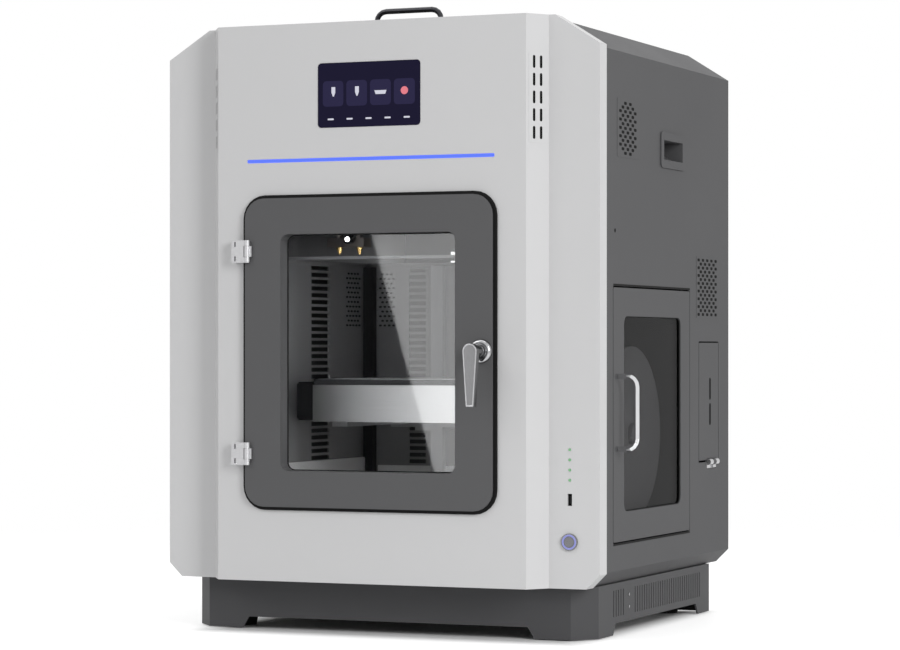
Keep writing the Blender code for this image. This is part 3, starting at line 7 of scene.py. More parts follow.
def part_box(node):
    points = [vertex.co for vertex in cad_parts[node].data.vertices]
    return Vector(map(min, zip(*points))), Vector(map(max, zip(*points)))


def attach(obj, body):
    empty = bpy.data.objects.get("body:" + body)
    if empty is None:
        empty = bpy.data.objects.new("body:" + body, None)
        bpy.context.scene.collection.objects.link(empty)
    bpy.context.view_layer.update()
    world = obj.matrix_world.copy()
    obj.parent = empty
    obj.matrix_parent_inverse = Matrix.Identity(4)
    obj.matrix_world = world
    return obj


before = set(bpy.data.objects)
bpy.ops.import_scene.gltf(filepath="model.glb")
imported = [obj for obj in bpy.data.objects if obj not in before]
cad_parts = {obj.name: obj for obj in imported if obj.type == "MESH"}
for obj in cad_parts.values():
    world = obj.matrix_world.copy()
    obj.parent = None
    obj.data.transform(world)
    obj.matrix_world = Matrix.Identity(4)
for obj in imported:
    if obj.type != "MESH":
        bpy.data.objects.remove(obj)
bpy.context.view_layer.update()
scene = bpy.context.scene
mm = 0.001
# from the machine's front-centre corner to the middle of its footprint
shift = Vector((0.01065, 0.22015, 0.0))


def at(x, y, z):
    return Vector((x, y, z)) * mm - shift  # machine millimetres to scene metres


# camera as in the photo
photoView = {"place": (1308.1, -2862.4, 302.0), "turn": 23.03, "sensor": 36, "lens": 119.48,
             "shiftX": 0.0016, "shiftY": 0.0286, "near": 0.1, "far": 100}
camData = bpy.data.cameras.new("photoCamera")
camera = bpy.data.objects.new("photoCamera", camData)
scene.collection.objects.link(camera)
camera.location = at(*photoView["place"])
camera.rotation_euler = (math.radians(90), 0, math.radians(photoView["turn"]))
camData.sensor_width = photoView["sensor"]
camData.lens = photoView["lens"]
camData.shift_x, camData.shift_y = photoView["shiftX"], photoView["shiftY"]
camData.clip_start, camData.clip_end = photoView["near"], photoView["far"]
scene.camera = camera
print("camera set")


# nodes: an input is given a value, the socket that feeds it, or a list of such sockets

def setInputs(tree, target, inputs):
    for label, given in inputs.items():
        for source in given if isinstance(given, list) else [given]:
            if isinstance(source, bpy.types.NodeSocket):
                tree.links.new(source, target.inputs[label])
            else:
                target.inputs[label].default_value = source


def addNode(tree, kind, inputs=None, **settings):
    added = tree.nodes.new(kind)
    for label, value in settings.items():
        setattr(added, label, value)
    setInputs(tree, added, inputs or {})
    return added


def addMath(tree, operation, *terms):
    return addNode(tree, "ShaderNodeMath", dict(enumerate(terms)), operation=operation).outputs[0]


def newTree(name, kind, ins, outs):
    tree = bpy.data.node_groups.new(name, kind)
    for way, sockets in (("OUTPUT", outs), ("INPUT", ins)):
        for label, socket in sockets.items():
            tree.interface.new_socket(label, in_out=way, socket_type="NodeSocket" + socket)
    return tree, tree.nodes.new("NodeGroupInput").outputs, tree.nodes.new("NodeGroupOutput")


# shader groups: powder coat for paint, plastic, glass and lenses, brushed lines for metal
grainOuts = {"Color": "Color", "Roughness": "Float", "Height": "Float"}
powderLook = {"grainDetail": 3, "cloudScale": 5, "cloudDetail": 4, "roughSpread": 0.16}
brushedLook = {"lineDetail": 5, "colorSpread": 0.22}


def noise(tree, place, scale, detail):
    inputs = {"Vector": place, "Scale": scale, "Detail": detail}
    return addNode(tree, "ShaderNodeTexNoise", inputs).outputs["Fac"]


def tinted(tree, color, share):
    inputs = {0: color, "Scale": share}
    return addNode(tree, "ShaderNodeVectorMath", inputs, operation="SCALE").outputs["Vector"]


def powderGroup():
    ins = {"Color": "Color", "Scale": "Float", "Variation": "Float", "Roughness": "Float"}
    group, start, end = newTree("powderCoat", "ShaderNodeTree", ins, grainOuts)
    place = addNode(group, "ShaderNodeTexCoord").outputs["Object"]
    grain = noise(group, place, start["Scale"], powderLook["grainDetail"])
    cloud = noise(group, place, powderLook["cloudScale"], powderLook["cloudDetail"])
    centred = addMath(group, "ADD", cloud, -0.5)
    share = addMath(group, "MULTIPLY_ADD", centred, start["Variation"], 1.0)
    rough = addMath(group, "MULTIPLY_ADD", centred, powderLook["roughSpread"], start["Roughness"])
    color = tinted(group, start["Color"], share)
    setInputs(group, end, {"Color": color, "Roughness": rough, "Height": grain})
    return group


def brushedGroup():
    ins = {"Color": "Color", "Stretch": "Vector", "Scale": "Float", "Roughness": "Float",
           "Spread": "Float"}
    group, start, end = newTree("brushedLines", "ShaderNodeTree", ins, grainOuts)
    place = addNode(group, "ShaderNodeTexCoord").outputs["Object"]
    stretched = {0: place, 1: start["Stretch"]}
    drawn = addNode(group, "ShaderNodeVectorMath", stretched, operation="MULTIPLY")
    lines = noise(group, drawn.outputs["Vector"], start["Scale"], brushedLook["lineDetail"])
    centred = addMath(group, "ADD", lines, -0.5)
    rough = addMath(group, "MULTIPLY_ADD", centred, start["Spread"], start["Roughness"])
    share = addMath(group, "MULTIPLY_ADD", centred, brushedLook["colorSpread"], 1.0)
    color = tinted(group, start["Color"], share)
    setInputs(group, end, {"Color": color, "Roughness": rough, "Height": lines})
    return group


powderCoat = powderGroup()
brushedLines = brushedGroup()

# finishes
reliefDepth = {"paint": 0.2, "metal": 0.1, "glow": 0.1}  # mm
glassLook = {"scale": 60.0, "variation": 0.02, "roughness": 0.02}
glowLook = {"scale": 500.0, "variation": 0.1, "bump": 0.03}


def newMaterial(name, group, grainValues, shading, relief=None):
    material = bpy.data.materials.new(name)
    material.use_nodes = True
    tree = material.node_tree
    grain = addNode(tree, "ShaderNodeGroup", grainValues, node_tree=group).outputs
    inputs = {"Base Color": grain["Color"], "Roughness": grain["Roughness"]}
    if relief:
        strength, depth = relief
        bump = addNode(tree, "ShaderNodeBump", {
            "Strength": strength, "Distance": depth * mm, "Height": grain["Height"]})
        inputs["Normal"] = bump.outputs["Normal"]
    setInputs(tree, tree.nodes["Principled BSDF"], {**inputs, **shading})
    return material


def paint(name, color, roughness, scale, variation, bump, level=0.1):
    grain = {"Color": (*color, 1), "Scale": scale, "Variation": variation, "Roughness": roughness}
    relief = (bump, reliefDepth["paint"])
    return newMaterial(name, powderCoat, grain, {"Specular IOR Level": level}, relief)


def metal(name, color, stretch, roughness, scale, spread, bump, metallic=1.0):
    grain = {"Color": (*color, 1), "Stretch": stretch, "Scale": scale, "Roughness": roughness,
             "Spread": spread}
    relief = (bump, reliefDepth["metal"])
    return newMaterial(name, brushedLines, grain, {"Metallic": metallic}, relief)


def glass(name, color, bend):
    grain = {"Color": (*color, 1), "Scale": glassLook["scale"], "Variation": glassLook["variation"]}
    shading = {"Roughness": glassLook["roughness"], "IOR": bend, "Transmission Weight": 1.0}
    return newMaterial(name, powderCoat, grain, shading)


def glowing(name, color, light, strength, roughness=0.35, level=0.1):
    grain = {"Color": (*color, 1), "Scale": glowLook["scale"], "Variation": glowLook["variation"],
             "Roughness": roughness}
    shading = {"Emission Color": (*light, 1), "Emission Strength": strength,
               "Specular IOR Level": level}
    return newMaterial(name, powderCoat, grain, shading, (glowLook["bump"], reliefDepth["glow"]))


finishes = {
    # paint: colour, roughness, grain scale, colour variation, bump, specular level
    "fascia": paint("lightGreyPaint", (0.585, 0.585, 0.59), 0.42, 1500, 0.03, 0.10, 0.25),
    "body": paint("darkGreyPaint", (0.092, 0.092, 0.095), 0.46, 1500, 0.05, 0.16, 0.05),
    "door": paint("doorGreyPaint", (0.104, 0.104, 0.107), 0.44, 1500, 0.05, 0.14),
    "plinth": paint("plinthPaint", (0.073, 0.073, 0.076), 0.5, 1300, 0.06, 0.18),
    "rubber": paint("blackRubber", (0.012, 0.012, 0.012), 0.75, 700, 0.2, 0.2),
    "plate": paint("buildPlate", (0.05, 0.05, 0.053), 0.6, 900, 0.1, 0.2),
    "liner": paint("linerPaint", (0.30, 0.30, 0.305), 0.55, 1200, 0.06, 0.15),
    "bay": paint("bayPaint", (0.05, 0.05, 0.052), 0.6, 1200, 0.04, 0.03),
    "floor": paint("floorPaint", (0.82, 0.82, 0.825), 0.5, 1200, 0.05, 0.12),
    "plastic": paint("blackPlastic", (0.022, 0.022, 0.024), 0.5, 1000, 0.12, 0.2),
    "spool": paint("spoolPlastic", (0.26, 0.26, 0.265), 0.45, 900, 0.08, 0.1),
    "filament": paint("filamentStrand", (0.32, 0.32, 0.33), 0.4, 700, 0.1, 0.08),
    # painted shade: near-black for the insides of screw sockets, a keyhole, slots and a socket
    "dark": paint("paintedRecessShade", (0.006, 0.006, 0.006), 0.8, 600, 0.2, 0.1),
    # metal: colour, stretch of the lines, roughness, line scale, roughness spread, bump, metallic
    "chrome": metal("polishedSteel", (0.72, 0.72, 0.73), (1, 1, 0.2), 0.12, 250, 0.1, 0.02),
    "rosette": metal("rosetteSteel", (0.42, 0.42, 0.43), (1, 1, 0.2), 0.12, 250, 0.1, 0.02),
    "cast": metal("castSteel", (0.21, 0.21, 0.215), (1, 1, 0.2), 0.16, 250, 0.1, 0.02),
    "darkHandle": metal("darkSteel", (0.055, 0.055, 0.06), (1, 1, 0.2), 0.3, 250, 0.1, 0.02),
    "zinc": metal("zincPlate", (0.54, 0.54, 0.55), (1, 1, 6), 0.34, 220, 0.2, 0.05),
    "satin": metal("satinSteel", (0.50, 0.50, 0.51), (1, 1, 6), 0.3, 220, 0.2, 0.05),
    "button": metal("buttonSteel", (0.19, 0.19, 0.20), (1, 1, 6), 0.3, 220, 0.2, 0.05),
    "brushedBar": metal("brushedBar", (0.86, 0.86, 0.86), (0.02, 1, 1), 0.42, 900, 0.25, 0.1, 0.4),
    "alloy": metal("drawnAlloy", (0.52, 0.52, 0.53), (1, 0.05, 1), 0.38, 500, 0.2, 0.06),
    "brass": metal("machinedBrass", (0.72, 0.50, 0.20), (1, 1, 8), 0.28, 300, 0.15, 0.05),
    "copper": metal("heaterAlloy", (0.55, 0.5, 0.46), (1, 1, 1), 0.35, 300, 0.15, 0.05),
    # glass: colour, index of refraction
    "clearGlass": glass("doorGlass", (0.93, 0.94, 0.95), 1.46),
    "smokedGlass": glass("smokedGlass", (0.34, 0.34, 0.345), 1.07),
    # glowing: colour, light, strength, roughness, specular level
    "screen": glowing("screenGlass", (0.006, 0.005, 0.014), (0.0035, 0.003, 0.013), 1.0, 0.3, 0.05),
    "tile": glowing("screenTile", (0.012, 0.011, 0.028), (0.012, 0.010, 0.032), 1.0, 0.2, 0.05),
    "glyph": glowing("screenGlyph", (0.3, 0.3, 0.34), (0.4, 0.4, 0.46), 0.9, 0.2),
    "rosy": glowing("screenRosyGlyph", (0.4, 0.12, 0.14), (0.5, 0.12, 0.15), 0.8, 0.2),
    "strip": glowing("blueStrip", (0.08, 0.13, 0.8), (0.07, 0.13, 0.72), 0.75),
    "green": glowing("greenLens", (0.18, 0.36, 0.20), (0.16, 0.42, 0.19), 0.35),
    "ring": glowing("blueRing", (0.24, 0.25, 0.48), (0.12, 0.13, 0.34), 0.5),
    "lamp": glowing("chamberLamp", (0.8, 0.8, 0.8), (1, 0.98, 0.95), 31.0),
    "headLight": glowing("headLamp", (0.8, 0.8, 0.8), (1, 0.98, 0.95), 8.0),
}

# painted shade and highlight on the bed's bar, standing in for a reflection: drawn darker at its
# left end, it has its own colour from a share of its width on
barPaintedShading = {"darkest": 0.2, "reach": 0.7}
barTree = finishes["brushedBar"].node_tree
barGrain = next(found for found in barTree.nodes if found.type == "GROUP")
barLow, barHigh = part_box("bed_front_cover")
barPlace = addNode(barTree, "ShaderNodeTexCoord").outputs["Object"]
barAcross = addNode(barTree, "ShaderNodeSeparateXYZ", {"Vector": barPlace}).outputs["X"]
barStart, barEnd = barLow[0], barLow[0] + barPaintedShading["reach"] * (barHigh[0] - barLow[0])
barPaintedShade = addNode(barTree, "ShaderNodeMapRange", {
    "Value": barAcross, "From Min": barStart, "From Max": barEnd,
    "To Min": barPaintedShading["darkest"], "To Max": barGrain.inputs["Color"].default_value[0]})
setInputs(barTree, barGrain, {"Color": barPaintedShade.outputs["Result"]})

nodeFinish = {
    "fascia": ["front_fascia"],
    "body": ["left_side_panel", "right_side_panel", "rear_panel", "top_lid", "side_door_panel",
             "filter_flap", "left_grip_cup", "right_grip_cup", "floor_pan"],
    "door": ["door_panel"],
    "plinth": ["base_plinth"],
    "rubber": ["door_gasket", "front_left_foot", "front_right_foot", "rear_left_foot",
               "rear_right_foot"],
    "darkHandle": ["lid_handle", "lid_hinge_rod"],
    "cast": ["door_lever", "button_bezel"],
    "rosette": ["lever_rosette"],
    "chrome": ["side_handle", "z_screw"],
    "zinc": ["upper_hinge_plate", "lower_hinge_plate", "upper_hinge_knuckle",
             "lower_hinge_knuckle"],
    "satin": ["flap_hinge", "latch_cam"],
    "button": ["power_button"],
    "brushedBar": ["bed_front_cover"],
    "plate": ["heated_bed"],
    "alloy": ["bed_carriage", "z_rail_left", "z_rail_right", "y_rail_left", "y_rail_right",
              "x_beam", "spool_shaft", "power_supply"],
    "liner": ["chamber_liner", "gantry_deck"],
    "bay": ["spool_bay"],
    "floor": ["chamber_floor"],
    "plastic": ["side_hinge_rod", "mains_inlet", "z_motor", "x_motor", "print_head"],
    "spool": ["filament_spool"],
    "filament": ["wound_filament"],
    "brass": ["left_nozzle", "right_nozzle"],
    "copper": ["hot_end"],
    "clearGlass": ["door_glass"],
    "smokedGlass": ["side_window"],
    "screen": ["touch_screen"],
    "strip": ["light_strip"],
    "green": ["indicator_lens_bar"],
}
for finish, names in nodeFinish.items():
    for name in names:
        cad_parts[name].material_slots[0].material = finishes[finish]
print("finishes on", sum(len(names) for names in nodeFinish.values()), "solids")


# geometry node trees for what repeats

def turned(tree, start):
    rotation = addNode(tree, "FunctionNodeEulerToRotation", {"Euler": start["Turn"]})
    return rotation.outputs["Rotation"]


def placed(tree, start, geometry):
    moved = addNode(tree, "GeometryNodeTransform", {
        "Geometry": geometry, "Translation": start["Place"], "Rotation": turned(tree, start)})
    return moved.outputs["Geometry"]


def dressed(tree, start, end, geometry):
    real = addNode(tree, "GeometryNodeRealizeInstances", {"Geometry": geometry}).outputs["Geometry"]
    finished = addNode(tree, "GeometryNodeSetMaterial", {
        "Geometry": real, "Material": start["Material"]})
    setInputs(tree, end, {"Geometry": finished.outputs["Geometry"]})
    return tree


def studTree():
    ins = {"Geometry": "Geometry", "Radius": "Float", "Height": "Float", "Sides": "Int",
           "Turn": "Vector", "Material": "Material"}
    tree, start, end = newTree("studField", "GeometryNodeTree", ins, {"Geometry": "Geometry"})
    stud = addNode(tree, "GeometryNodeMeshCylinder", {
        "Radius": start["Radius"], "Depth": start["Height"], "Vertices": start["Sides"]})
    points = addNode(tree, "GeometryNodeMeshToPoints", {"Mesh": start["Geometry"]})
    field = addNode(tree, "GeometryNodeInstanceOnPoints", {
        "Points": points.outputs["Points"], "Instance": stud.outputs["Mesh"],
        "Rotation": turned(tree, start)})
    return dressed(tree, start, end, field.outputs["Instances"])


def strandTree():
    ins = {"Geometry": "Geometry", "Turns": "Float", "Length": "Float", "Radius": "Float",
           "Strand": "Float", "Place": "Vector", "Turn": "Vector", "Steps": "Int",
           "Material": "Material"}
    tree, start, end = newTree("woundStrand", "GeometryNodeTree", ins, {"Geometry": "Geometry"})
    strandSides = 8
    coil = addNode(tree, "GeometryNodeCurveSpiral", {
        "Resolution": start["Steps"], "Rotations": start["Turns"], "Start Radius": start["Radius"],
        "End Radius": start["Radius"], "Height": start["Length"]})
    section = addNode(tree, "GeometryNodeCurvePrimitiveCircle", {
        "Resolution": strandSides, "Radius": start["Strand"]})
    tube = addNode(tree, "GeometryNodeCurveToMesh", {
        "Curve": coil.outputs["Curve"], "Profile Curve": section.outputs["Curve"],
        "Fill Caps": True})
    strand = placed(tree, start, tube.outputs["Mesh"])
    smooth = addNode(tree, "GeometryNodeSetShadeSmooth", {"Geometry": strand})
    return dressed(tree, start, end, smooth.outputs["Geometry"])


def coverTree():
    ins = {"Geometry": "Geometry", "Slot Width": "Float", "Slot Height": "Float",
           "Slot Round": "Float", "Width": "Float", "Height": "Float", "Thickness": "Float",
           "Place": "Vector", "Turn": "Vector", "Material": "Material"}
    tree, start, end = newTree("ventCover", "GeometryNodeTree", ins, {"Geometry": "Geometry"})
    cornerSteps, weld = 4, 0.01 * mm

    def outline(width, height):
        edge = addNode(tree, "GeometryNodeCurvePrimitiveQuadrilateral", {
            "Width": start[width], "Height": start[height]})
        return addNode(tree, "GeometryNodeFilletCurve", {
            "Curve": edge.outputs["Curve"], "Count": cornerSteps, "Limit Radius": True,
            "Radius": start["Slot Round"]}, mode="POLY").outputs["Curve"]

    points = addNode(tree, "GeometryNodeMeshToPoints", {"Mesh": start["Geometry"]})
    field = addNode(tree, "GeometryNodeInstanceOnPoints", {
        "Points": points.outputs["Points"], "Instance": outline("Slot Width", "Slot Height")})
    slots = addNode(tree, "GeometryNodeRealizeInstances", {"Geometry": field.outputs["Instances"]})
    lines = addNode(tree, "GeometryNodeJoinGeometry", {
        "Geometry": [outline("Width", "Height"), slots.outputs["Geometry"]]})
    filled = addNode(tree, "GeometryNodeFillCurve", {"Curve": lines.outputs["Geometry"]})
    sheet = filled.outputs["Mesh"]
    raised = addNode(tree, "GeometryNodeExtrudeMesh", {
        "Mesh": sheet, "Individual": False, "Offset Scale": start["Thickness"]})
    under = addNode(tree, "GeometryNodeFlipFaces", {"Mesh": sheet})
    both = addNode(tree, "GeometryNodeJoinGeometry", {
        "Geometry": [raised.outputs["Mesh"], under.outputs["Mesh"]]})
    closed = addNode(tree, "GeometryNodeMergeByDistance", {
        "Geometry": both.outputs["Geometry"], "Distance": weld})
    return dressed(tree, start, end, placed(tree, start, closed.outputs["Geometry"]))


ventCover = coverTree()
studField = studTree()
woundStrand = strandTree()


def plainObject(name, mesh, material=None):
    piece = bpy.data.objects.new(name, mesh)
    scene.collection.objects.link(piece)
    if material:
        mesh.materials.append(material)
    return piece


def carry(piece, body):
    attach(piece, body)


def grow(name, tree, points, values, finish, body):
    mesh = bpy.data.meshes.new(name + "Points")
    mesh.from_pydata([tuple(p) for p in points], [], [])
    source = plainObject(name + "Source", mesh)
    modifier = source.modifiers.new("grow", "NODES")
    modifier.node_group = tree
    values = {**values, "Material": finishes[finish]}
    for item in tree.interface.items_tree:
        if item.in_out == "INPUT" and item.name in values:
            modifier[item.identifier] = values[item.name]
    bpy.context.view_layer.update()
    graph = bpy.context.evaluated_depsgraph_get()
    made = bpy.data.meshes.new_from_object(source.evaluated_get(graph))
    bpy.data.objects.remove(source)
    carry(plainObject(name, made), body)


facing = {"front": (math.pi / 2, 0, 0), "right": (0, math.pi / 2, 0)}


def studs(name, points, look, way, finish, body):
    grow(name, studField, [at(*p) for p in points],
         {"Radius": look["radius"] * mm, "Height": look["height"] * mm, "Sides": look["sides"],
          "Turn": facing[way]}, finish, body)


# screws of the rear panel: the socket is a second, darker stud that stands a hair prouder, painted
# shade for the hollow of the socket
rearScrews = {"y": 473.2, "xs": (-210, -105, 0, 105, 210), "zs": (76, 600),
              "edgeXs": (-232, 232), "edgeZs": (200, 330, 460)}
rearHead = {"radius": 3.2, "height": 1.2, "sides": 16}
rearSocket = {"radius": 1.6, "height": 1.3, "sides": 6}
rearPoints = [(x, rearScrews["y"], z) for x in rearScrews["xs"] for z in rearScrews["zs"]]
rearPoints += [(x, rearScrews["y"], z) for x in rearScrews["edgeXs"] for z in rearScrews["edgeZs"]]
studs("rearScrews", rearPoints, rearHead, "front", "satin", "cabinet")
studs("rearScrewsSockets", rearPoints, rearSocket, "front", "dark", "cabinet")

plinthRivets = {"x": 233.1, "y": 161, "zs": (28, 41), "radius": 1.7, "height": 0.8, "sides": 12}
rivetPoints = [(side * plinthRivets["x"], plinthRivets["y"], z)
               for side in (-1, 1) for z in plinthRivets["zs"]]
studs("plinthRivets", rivetPoints, plinthRivets, "right", "cast", "cabinet")

# keyhole on the right side: a dark disc of painted shade for the hole
sideKeyhole = {"place": (245.02, 84, 428), "radius": 2.2, "height": 0.3, "sides": 16}
studs("sideKeyhole", [sideKeyhole["place"]], sideKeyhole, "right", "dark", "cabinet")
print("screws placed")

# punched covers over the vent holes, each on a dark sheet of painted shade that shows through the
# slots
coverSheet = {"thickness": 0.18, "lift": 0.1, "margin": 0, "round": 0.49}
coverPaintedShade = {"thickness": 0.06, "lift": 0.02, "margin": 1}
ventCovers = {
    "frontVent": {"middle": (245, 123.5, 537), "turn": 90, "grid": (4, 13), "rows": "clipped",
                  "pitch": (15.5, 4.4), "slot": (8.8, 3.3), "size": (66, 62), "finish": "body"},
    "rearVent": {"middle": (245, 393, 374), "turn": 90, "grid": (5, 15), "rows": "staggered",
                 "pitch": (15.5, 4.4), "slot": (8.8, 3.3), "size": (78, 70), "finish": "body"},
    "leftVent": {"middle": (-245, 123.5, 537), "turn": -90, "grid": (4, 13), "rows": "clipped",
                 "pitch": (15.5, 4.4), "slot": (8.8, 3.3), "size": (66, 62), "finish": "body"},
    "rightFacetVent": {"middle": (186, 12, 563.9), "turn": 56.31, "grid": (2, 5), "rows": "square",
                       "pitch": (8.8, 18.3), "slot": (3.2, 13.4), "size": (22, 94),
                       "finish": "fascia"},
    "leftFacetVent": {"middle": (-186, 12, 563.9), "turn": -56.31, "grid": (2, 5), "rows": "square",
                      "pitch": (8.8, 18.3), "slot": (3.2, 13.4), "size": (22, 94),
                      "finish": "fascia"},
    "backVent": {"middle": (-112.9, 299.9, 361), "turn": 0, "grid": (4, 12), "rows": "staggered",
                 "pitch": (5.6, 5.4), "slot": (3.6, 2.2), "size": (23.6, 68), "finish": "liner"},
    "wallVent": {"middle": (-139.9, 264.6, 361), "turn": 90, "grid": (5, 12), "rows": "staggered",
                 "pitch": (8.4, 5.4), "slot": (6.0, 2.2), "size": (43, 68), "finish": "liner"},
}


def slotSpots(look):
    columns, rows = look["grid"]
    spots = []
    for row in range(rows):
        count = columns if look["rows"] == "square" else columns - row % 2
        if look["rows"] == "clipped" and row in (0, rows - 1):
            count = columns - 2  # the corners of the field are left out
        for i in range(count):
            across, up = i - (count - 1) / 2, row - (rows - 1) / 2
            spots.append((across * look["pitch"][0] * mm, up * look["pitch"][1] * mm, 0))
    return spots


for name, look in ventCovers.items():
    heading = math.radians(look["turn"])
    outward = Vector((math.sin(heading), -math.cos(heading), 0))
    values = {"Slot Width": look["slot"][0] * mm, "Slot Height": look["slot"][1] * mm,
              "Slot Round": min(look["slot"]) * coverSheet["round"] * mm,
              "Turn": (math.pi / 2, 0, heading)}
    # the second layer is the dark sheet of painted shade under each cover
    layers = ((name, slotSpots(look), coverSheet, look["finish"]),
              (name + "PaintedShadeSheet", [], coverPaintedShade, "dark"))
    for label, spots, sheet, finish in layers:
        width, height = (side - sheet["margin"] for side in look["size"])
        place = at(*look["middle"]) + outward * sheet["lift"] * mm
        values.update({"Width": width * mm, "Height": height * mm,
                       "Thickness": sheet["thickness"] * mm, "Place": tuple(place)})
        grow(label, ventCover, spots, values, finish, "cabinet")
print("vents covered")


def windStrand(name, look, start, turn, finish, body):
    values = {"Turns": look["turns"], "Length": look["turns"] * look["pitch"] * mm,
              "Radius": look["radius"] * mm, "Strand": look["strand"] * mm, "Steps": look["steps"],
              "Place": tuple(at(*start)), "Turn": turn}
    grow(name, woundStrand, [(0, 0, 0)], values, finish, body)


# wound filament: the outer layer is one unbroken strand over the plain core
winding = {"turns": 32.0, "pitch": 1.82, "radius": 84.1, "strand": 0.86, "steps": 64,
           "x": 187, "y": 204, "z": 212}
windingStart = (winding["x"] - winding["turns"] * winding["pitch"] / 2, winding["y"], winding["z"])
windStrand("woundOuterLayer", winding, windingStart, (0, math.pi / 2, 0), "filament", "spool")

# thread of the lead screw, one turn for each 8 mm of lift
thread = {"turns": 30.25, "pitch": 8.0, "radius": 4.9, "strand": 0.35, "steps": 24,
          "start": (0, 284, 154.0)}
windStrand("screwThread", thread, thread["start"], (0.0, 0.0, 0.0), "chrome", "z_screw")
print("filament wound")


# small solids by mesh code

onPlane = {"xz": lambda u, v, depth: at(u, depth, v),
           "yz": lambda u, v, depth: at(depth, u, v),
           "xy": lambda u, v, depth: at(u, v, depth)}


def meshFrom(bm, name):
    bmesh.ops.recalc_face_normals(bm, faces=bm.faces)
    mesh = bpy.data.meshes.new(name)
    bm.to_mesh(mesh)
    bm.free()
    return mesh


def joinRows(bm, row, after, smooth=False):
    for i in range(len(row)):
        j = (i + 1) % len(row)
        bm.faces.new((row[i], row[j], after[j], after[i])).smooth = smooth


def bandMesh(name, rows, smooth=False):
    # a closed band: each row of points is joined to the next, and the last row to the first
    bm = bmesh.new()
    loops = [[bm.verts.new(point) for point in row] for row in rows]
    for loop, after in zip(loops, loops[1:] + loops[:1]):
        joinRows(bm, loop, after, smooth)
    return meshFrom(bm, name)


def onCircle(x, y, radius, angle):
    return x + radius * math.cos(angle), y + radius * math.sin(angle)


def roundedOutline(middle, width, height, corner, steps=6):
    x, y = width / 2 - corner, height / 2 - corner
    points = []
    for across, up, begin in ((x, y, 0), (-x, y, 90), (-x, -y, 180), (x, -y, 270)):
        for i in range(steps + 1):
            angle = math.radians(begin + 90 * i / steps)
            points.append(onCircle(middle[0] + across, middle[1] + up, corner, angle))
    return points


def circleOutline(middle, radius, count=32):
    return [onCircle(*middle, radius, 2 * math.pi * i / count) for i in range(count)]


softEdge = {"segments": 2}


def addPiece(name, mesh, finish, body, soft=0):
    piece = plainObject(name, mesh, finishes[finish])
    if soft:
        edge = piece.modifiers.new("soften", "BEVEL")
        edge.width = soft * mm
        edge.segments = softEdge["segments"]
        edge.limit_method = "ANGLE"
    carry(piece, body)


def addRing(name, outer, inner, look, plane, finish, body):
    # a flat ring between two outlines of equal point count
    low, high = look["depth"]
    rows = [[onPlane[plane](u, v, depth) for u, v in outline]
            for outline, depth in ((outer, low), (outer, high), (inner, high), (inner, low))]
    addPiece(name, bandMesh(name, rows), finish, body, look["soft"])


def addBlock(name, look, finish, body):
    bm = bmesh.new()
    low, high = (Vector([look[axis][end] for axis in "xyz"]) for end in (0, 1))
    place = Matrix.Translation(at(*(low + high) / 2)) @ Matrix.Diagonal((*(high - low) * mm, 1))
    bmesh.ops.create_cube(bm, size=1, matrix=place)
    bmesh.ops.bevel(bm, geom=bm.edges[:], offset=look["soft"] * mm, segments=look["steps"],
                    affect="EDGES")
    addPiece(name, meshFrom(bm, name), finish, body)


def addPlate(name, outline, depth, plane, finish, body):
    # a thin flat piece with any outline
    bm = bmesh.new()
    back, front = ([bm.verts.new(onPlane[plane](u, v, level)) for u, v in outline]
                   for level in depth)
    joinRows(bm, back, front)
    bm.faces.new(back)
    bm.faces.new(front)
    addPiece(name, meshFrom(bm, name), finish, body)


def addRoundRing(name, middle, look, finish, body):
    outer, inner = (circleOutline(middle, look[edge]) for edge in ("outer", "inner"))
    addRing(name, outer, inner, look, "xz", finish, body)


def addRoundedPlate(name, middle, look, plane, finish, body):
    outline = roundedOutline(middle, look["width"], look["height"], look["corner"], look["steps"])
    addPlate(name, outline, look["depth"], plane, finish, body)


# seals round the panes
sealEdge = {"gap": 0.2, "lip": 1.2, "corner": 8.9}


def addSeal(name, look, plane, body):
    def outline(inset, corner):
        return roundedOutline(look["middle"], look["width"] - inset, look["height"] - inset, corner)

    outer = outline(sealEdge["gap"], sealEdge["corner"])
    inner = outline(2 * sealEdge["lip"], look["innerCorner"])
    addRing(name, outer, inner, look, plane, "rubber", body)


windowSeal = {"middle": (0, 300), "width": 202, "height": 252, "innerCorner": 7.8,
              "depth": (11.2, 12.5), "soft": 0.4}
addSeal("windowSeal", windowSeal, "xz", "front_door")
sideWindowSeal = {"middle": (205.5, 235.25), "width": 187, "height": 206.5, "innerCorner": 7.9,
                  "depth": (242.9, 244.0), "soft": 0.3}
addSeal("sideWindowSeal", sideWindowSeal, "yz", "side_door")

# lit ring round the switch, memory-stick socket with a block of painted shade for its inside, inlet
# pins
switchRing = {"middle": (217, 104.5), "outer": 7.9, "inner": 5.9, "depth": (21.5, 22.3),
              "soft": 0.2}
addRoundRing("switchRing", switchRing["middle"], switchRing, "ring", "cabinet")
memorySocket = {"x": (212, 222), "y": (27.0, 36), "z": (140, 156), "soft": 0.6, "steps": 2}
addBlock("memorySocket", memorySocket, "dark", "cabinet")
memoryTongue = {"x": (216.5, 217.5), "y": (25.4, 26.9), "z": (144, 152), "soft": 0.1, "steps": 1}
addBlock("memoryTongue", memoryTongue, "plastic", "cabinet")
inletPins = {"middles": (-134, -126, -118), "half": 1.2, "y": (457.2, 469), "z": (97.5, 102.5),
             "soft": 0.3, "steps": 2}
for i, middle in enumerate(inletPins["middles"]):
    pin = {**inletPins, "x": (middle - inletPins["half"], middle + inletPins["half"])}
    addBlock(f"inletPin{i}", pin, "satin", "cabinet")
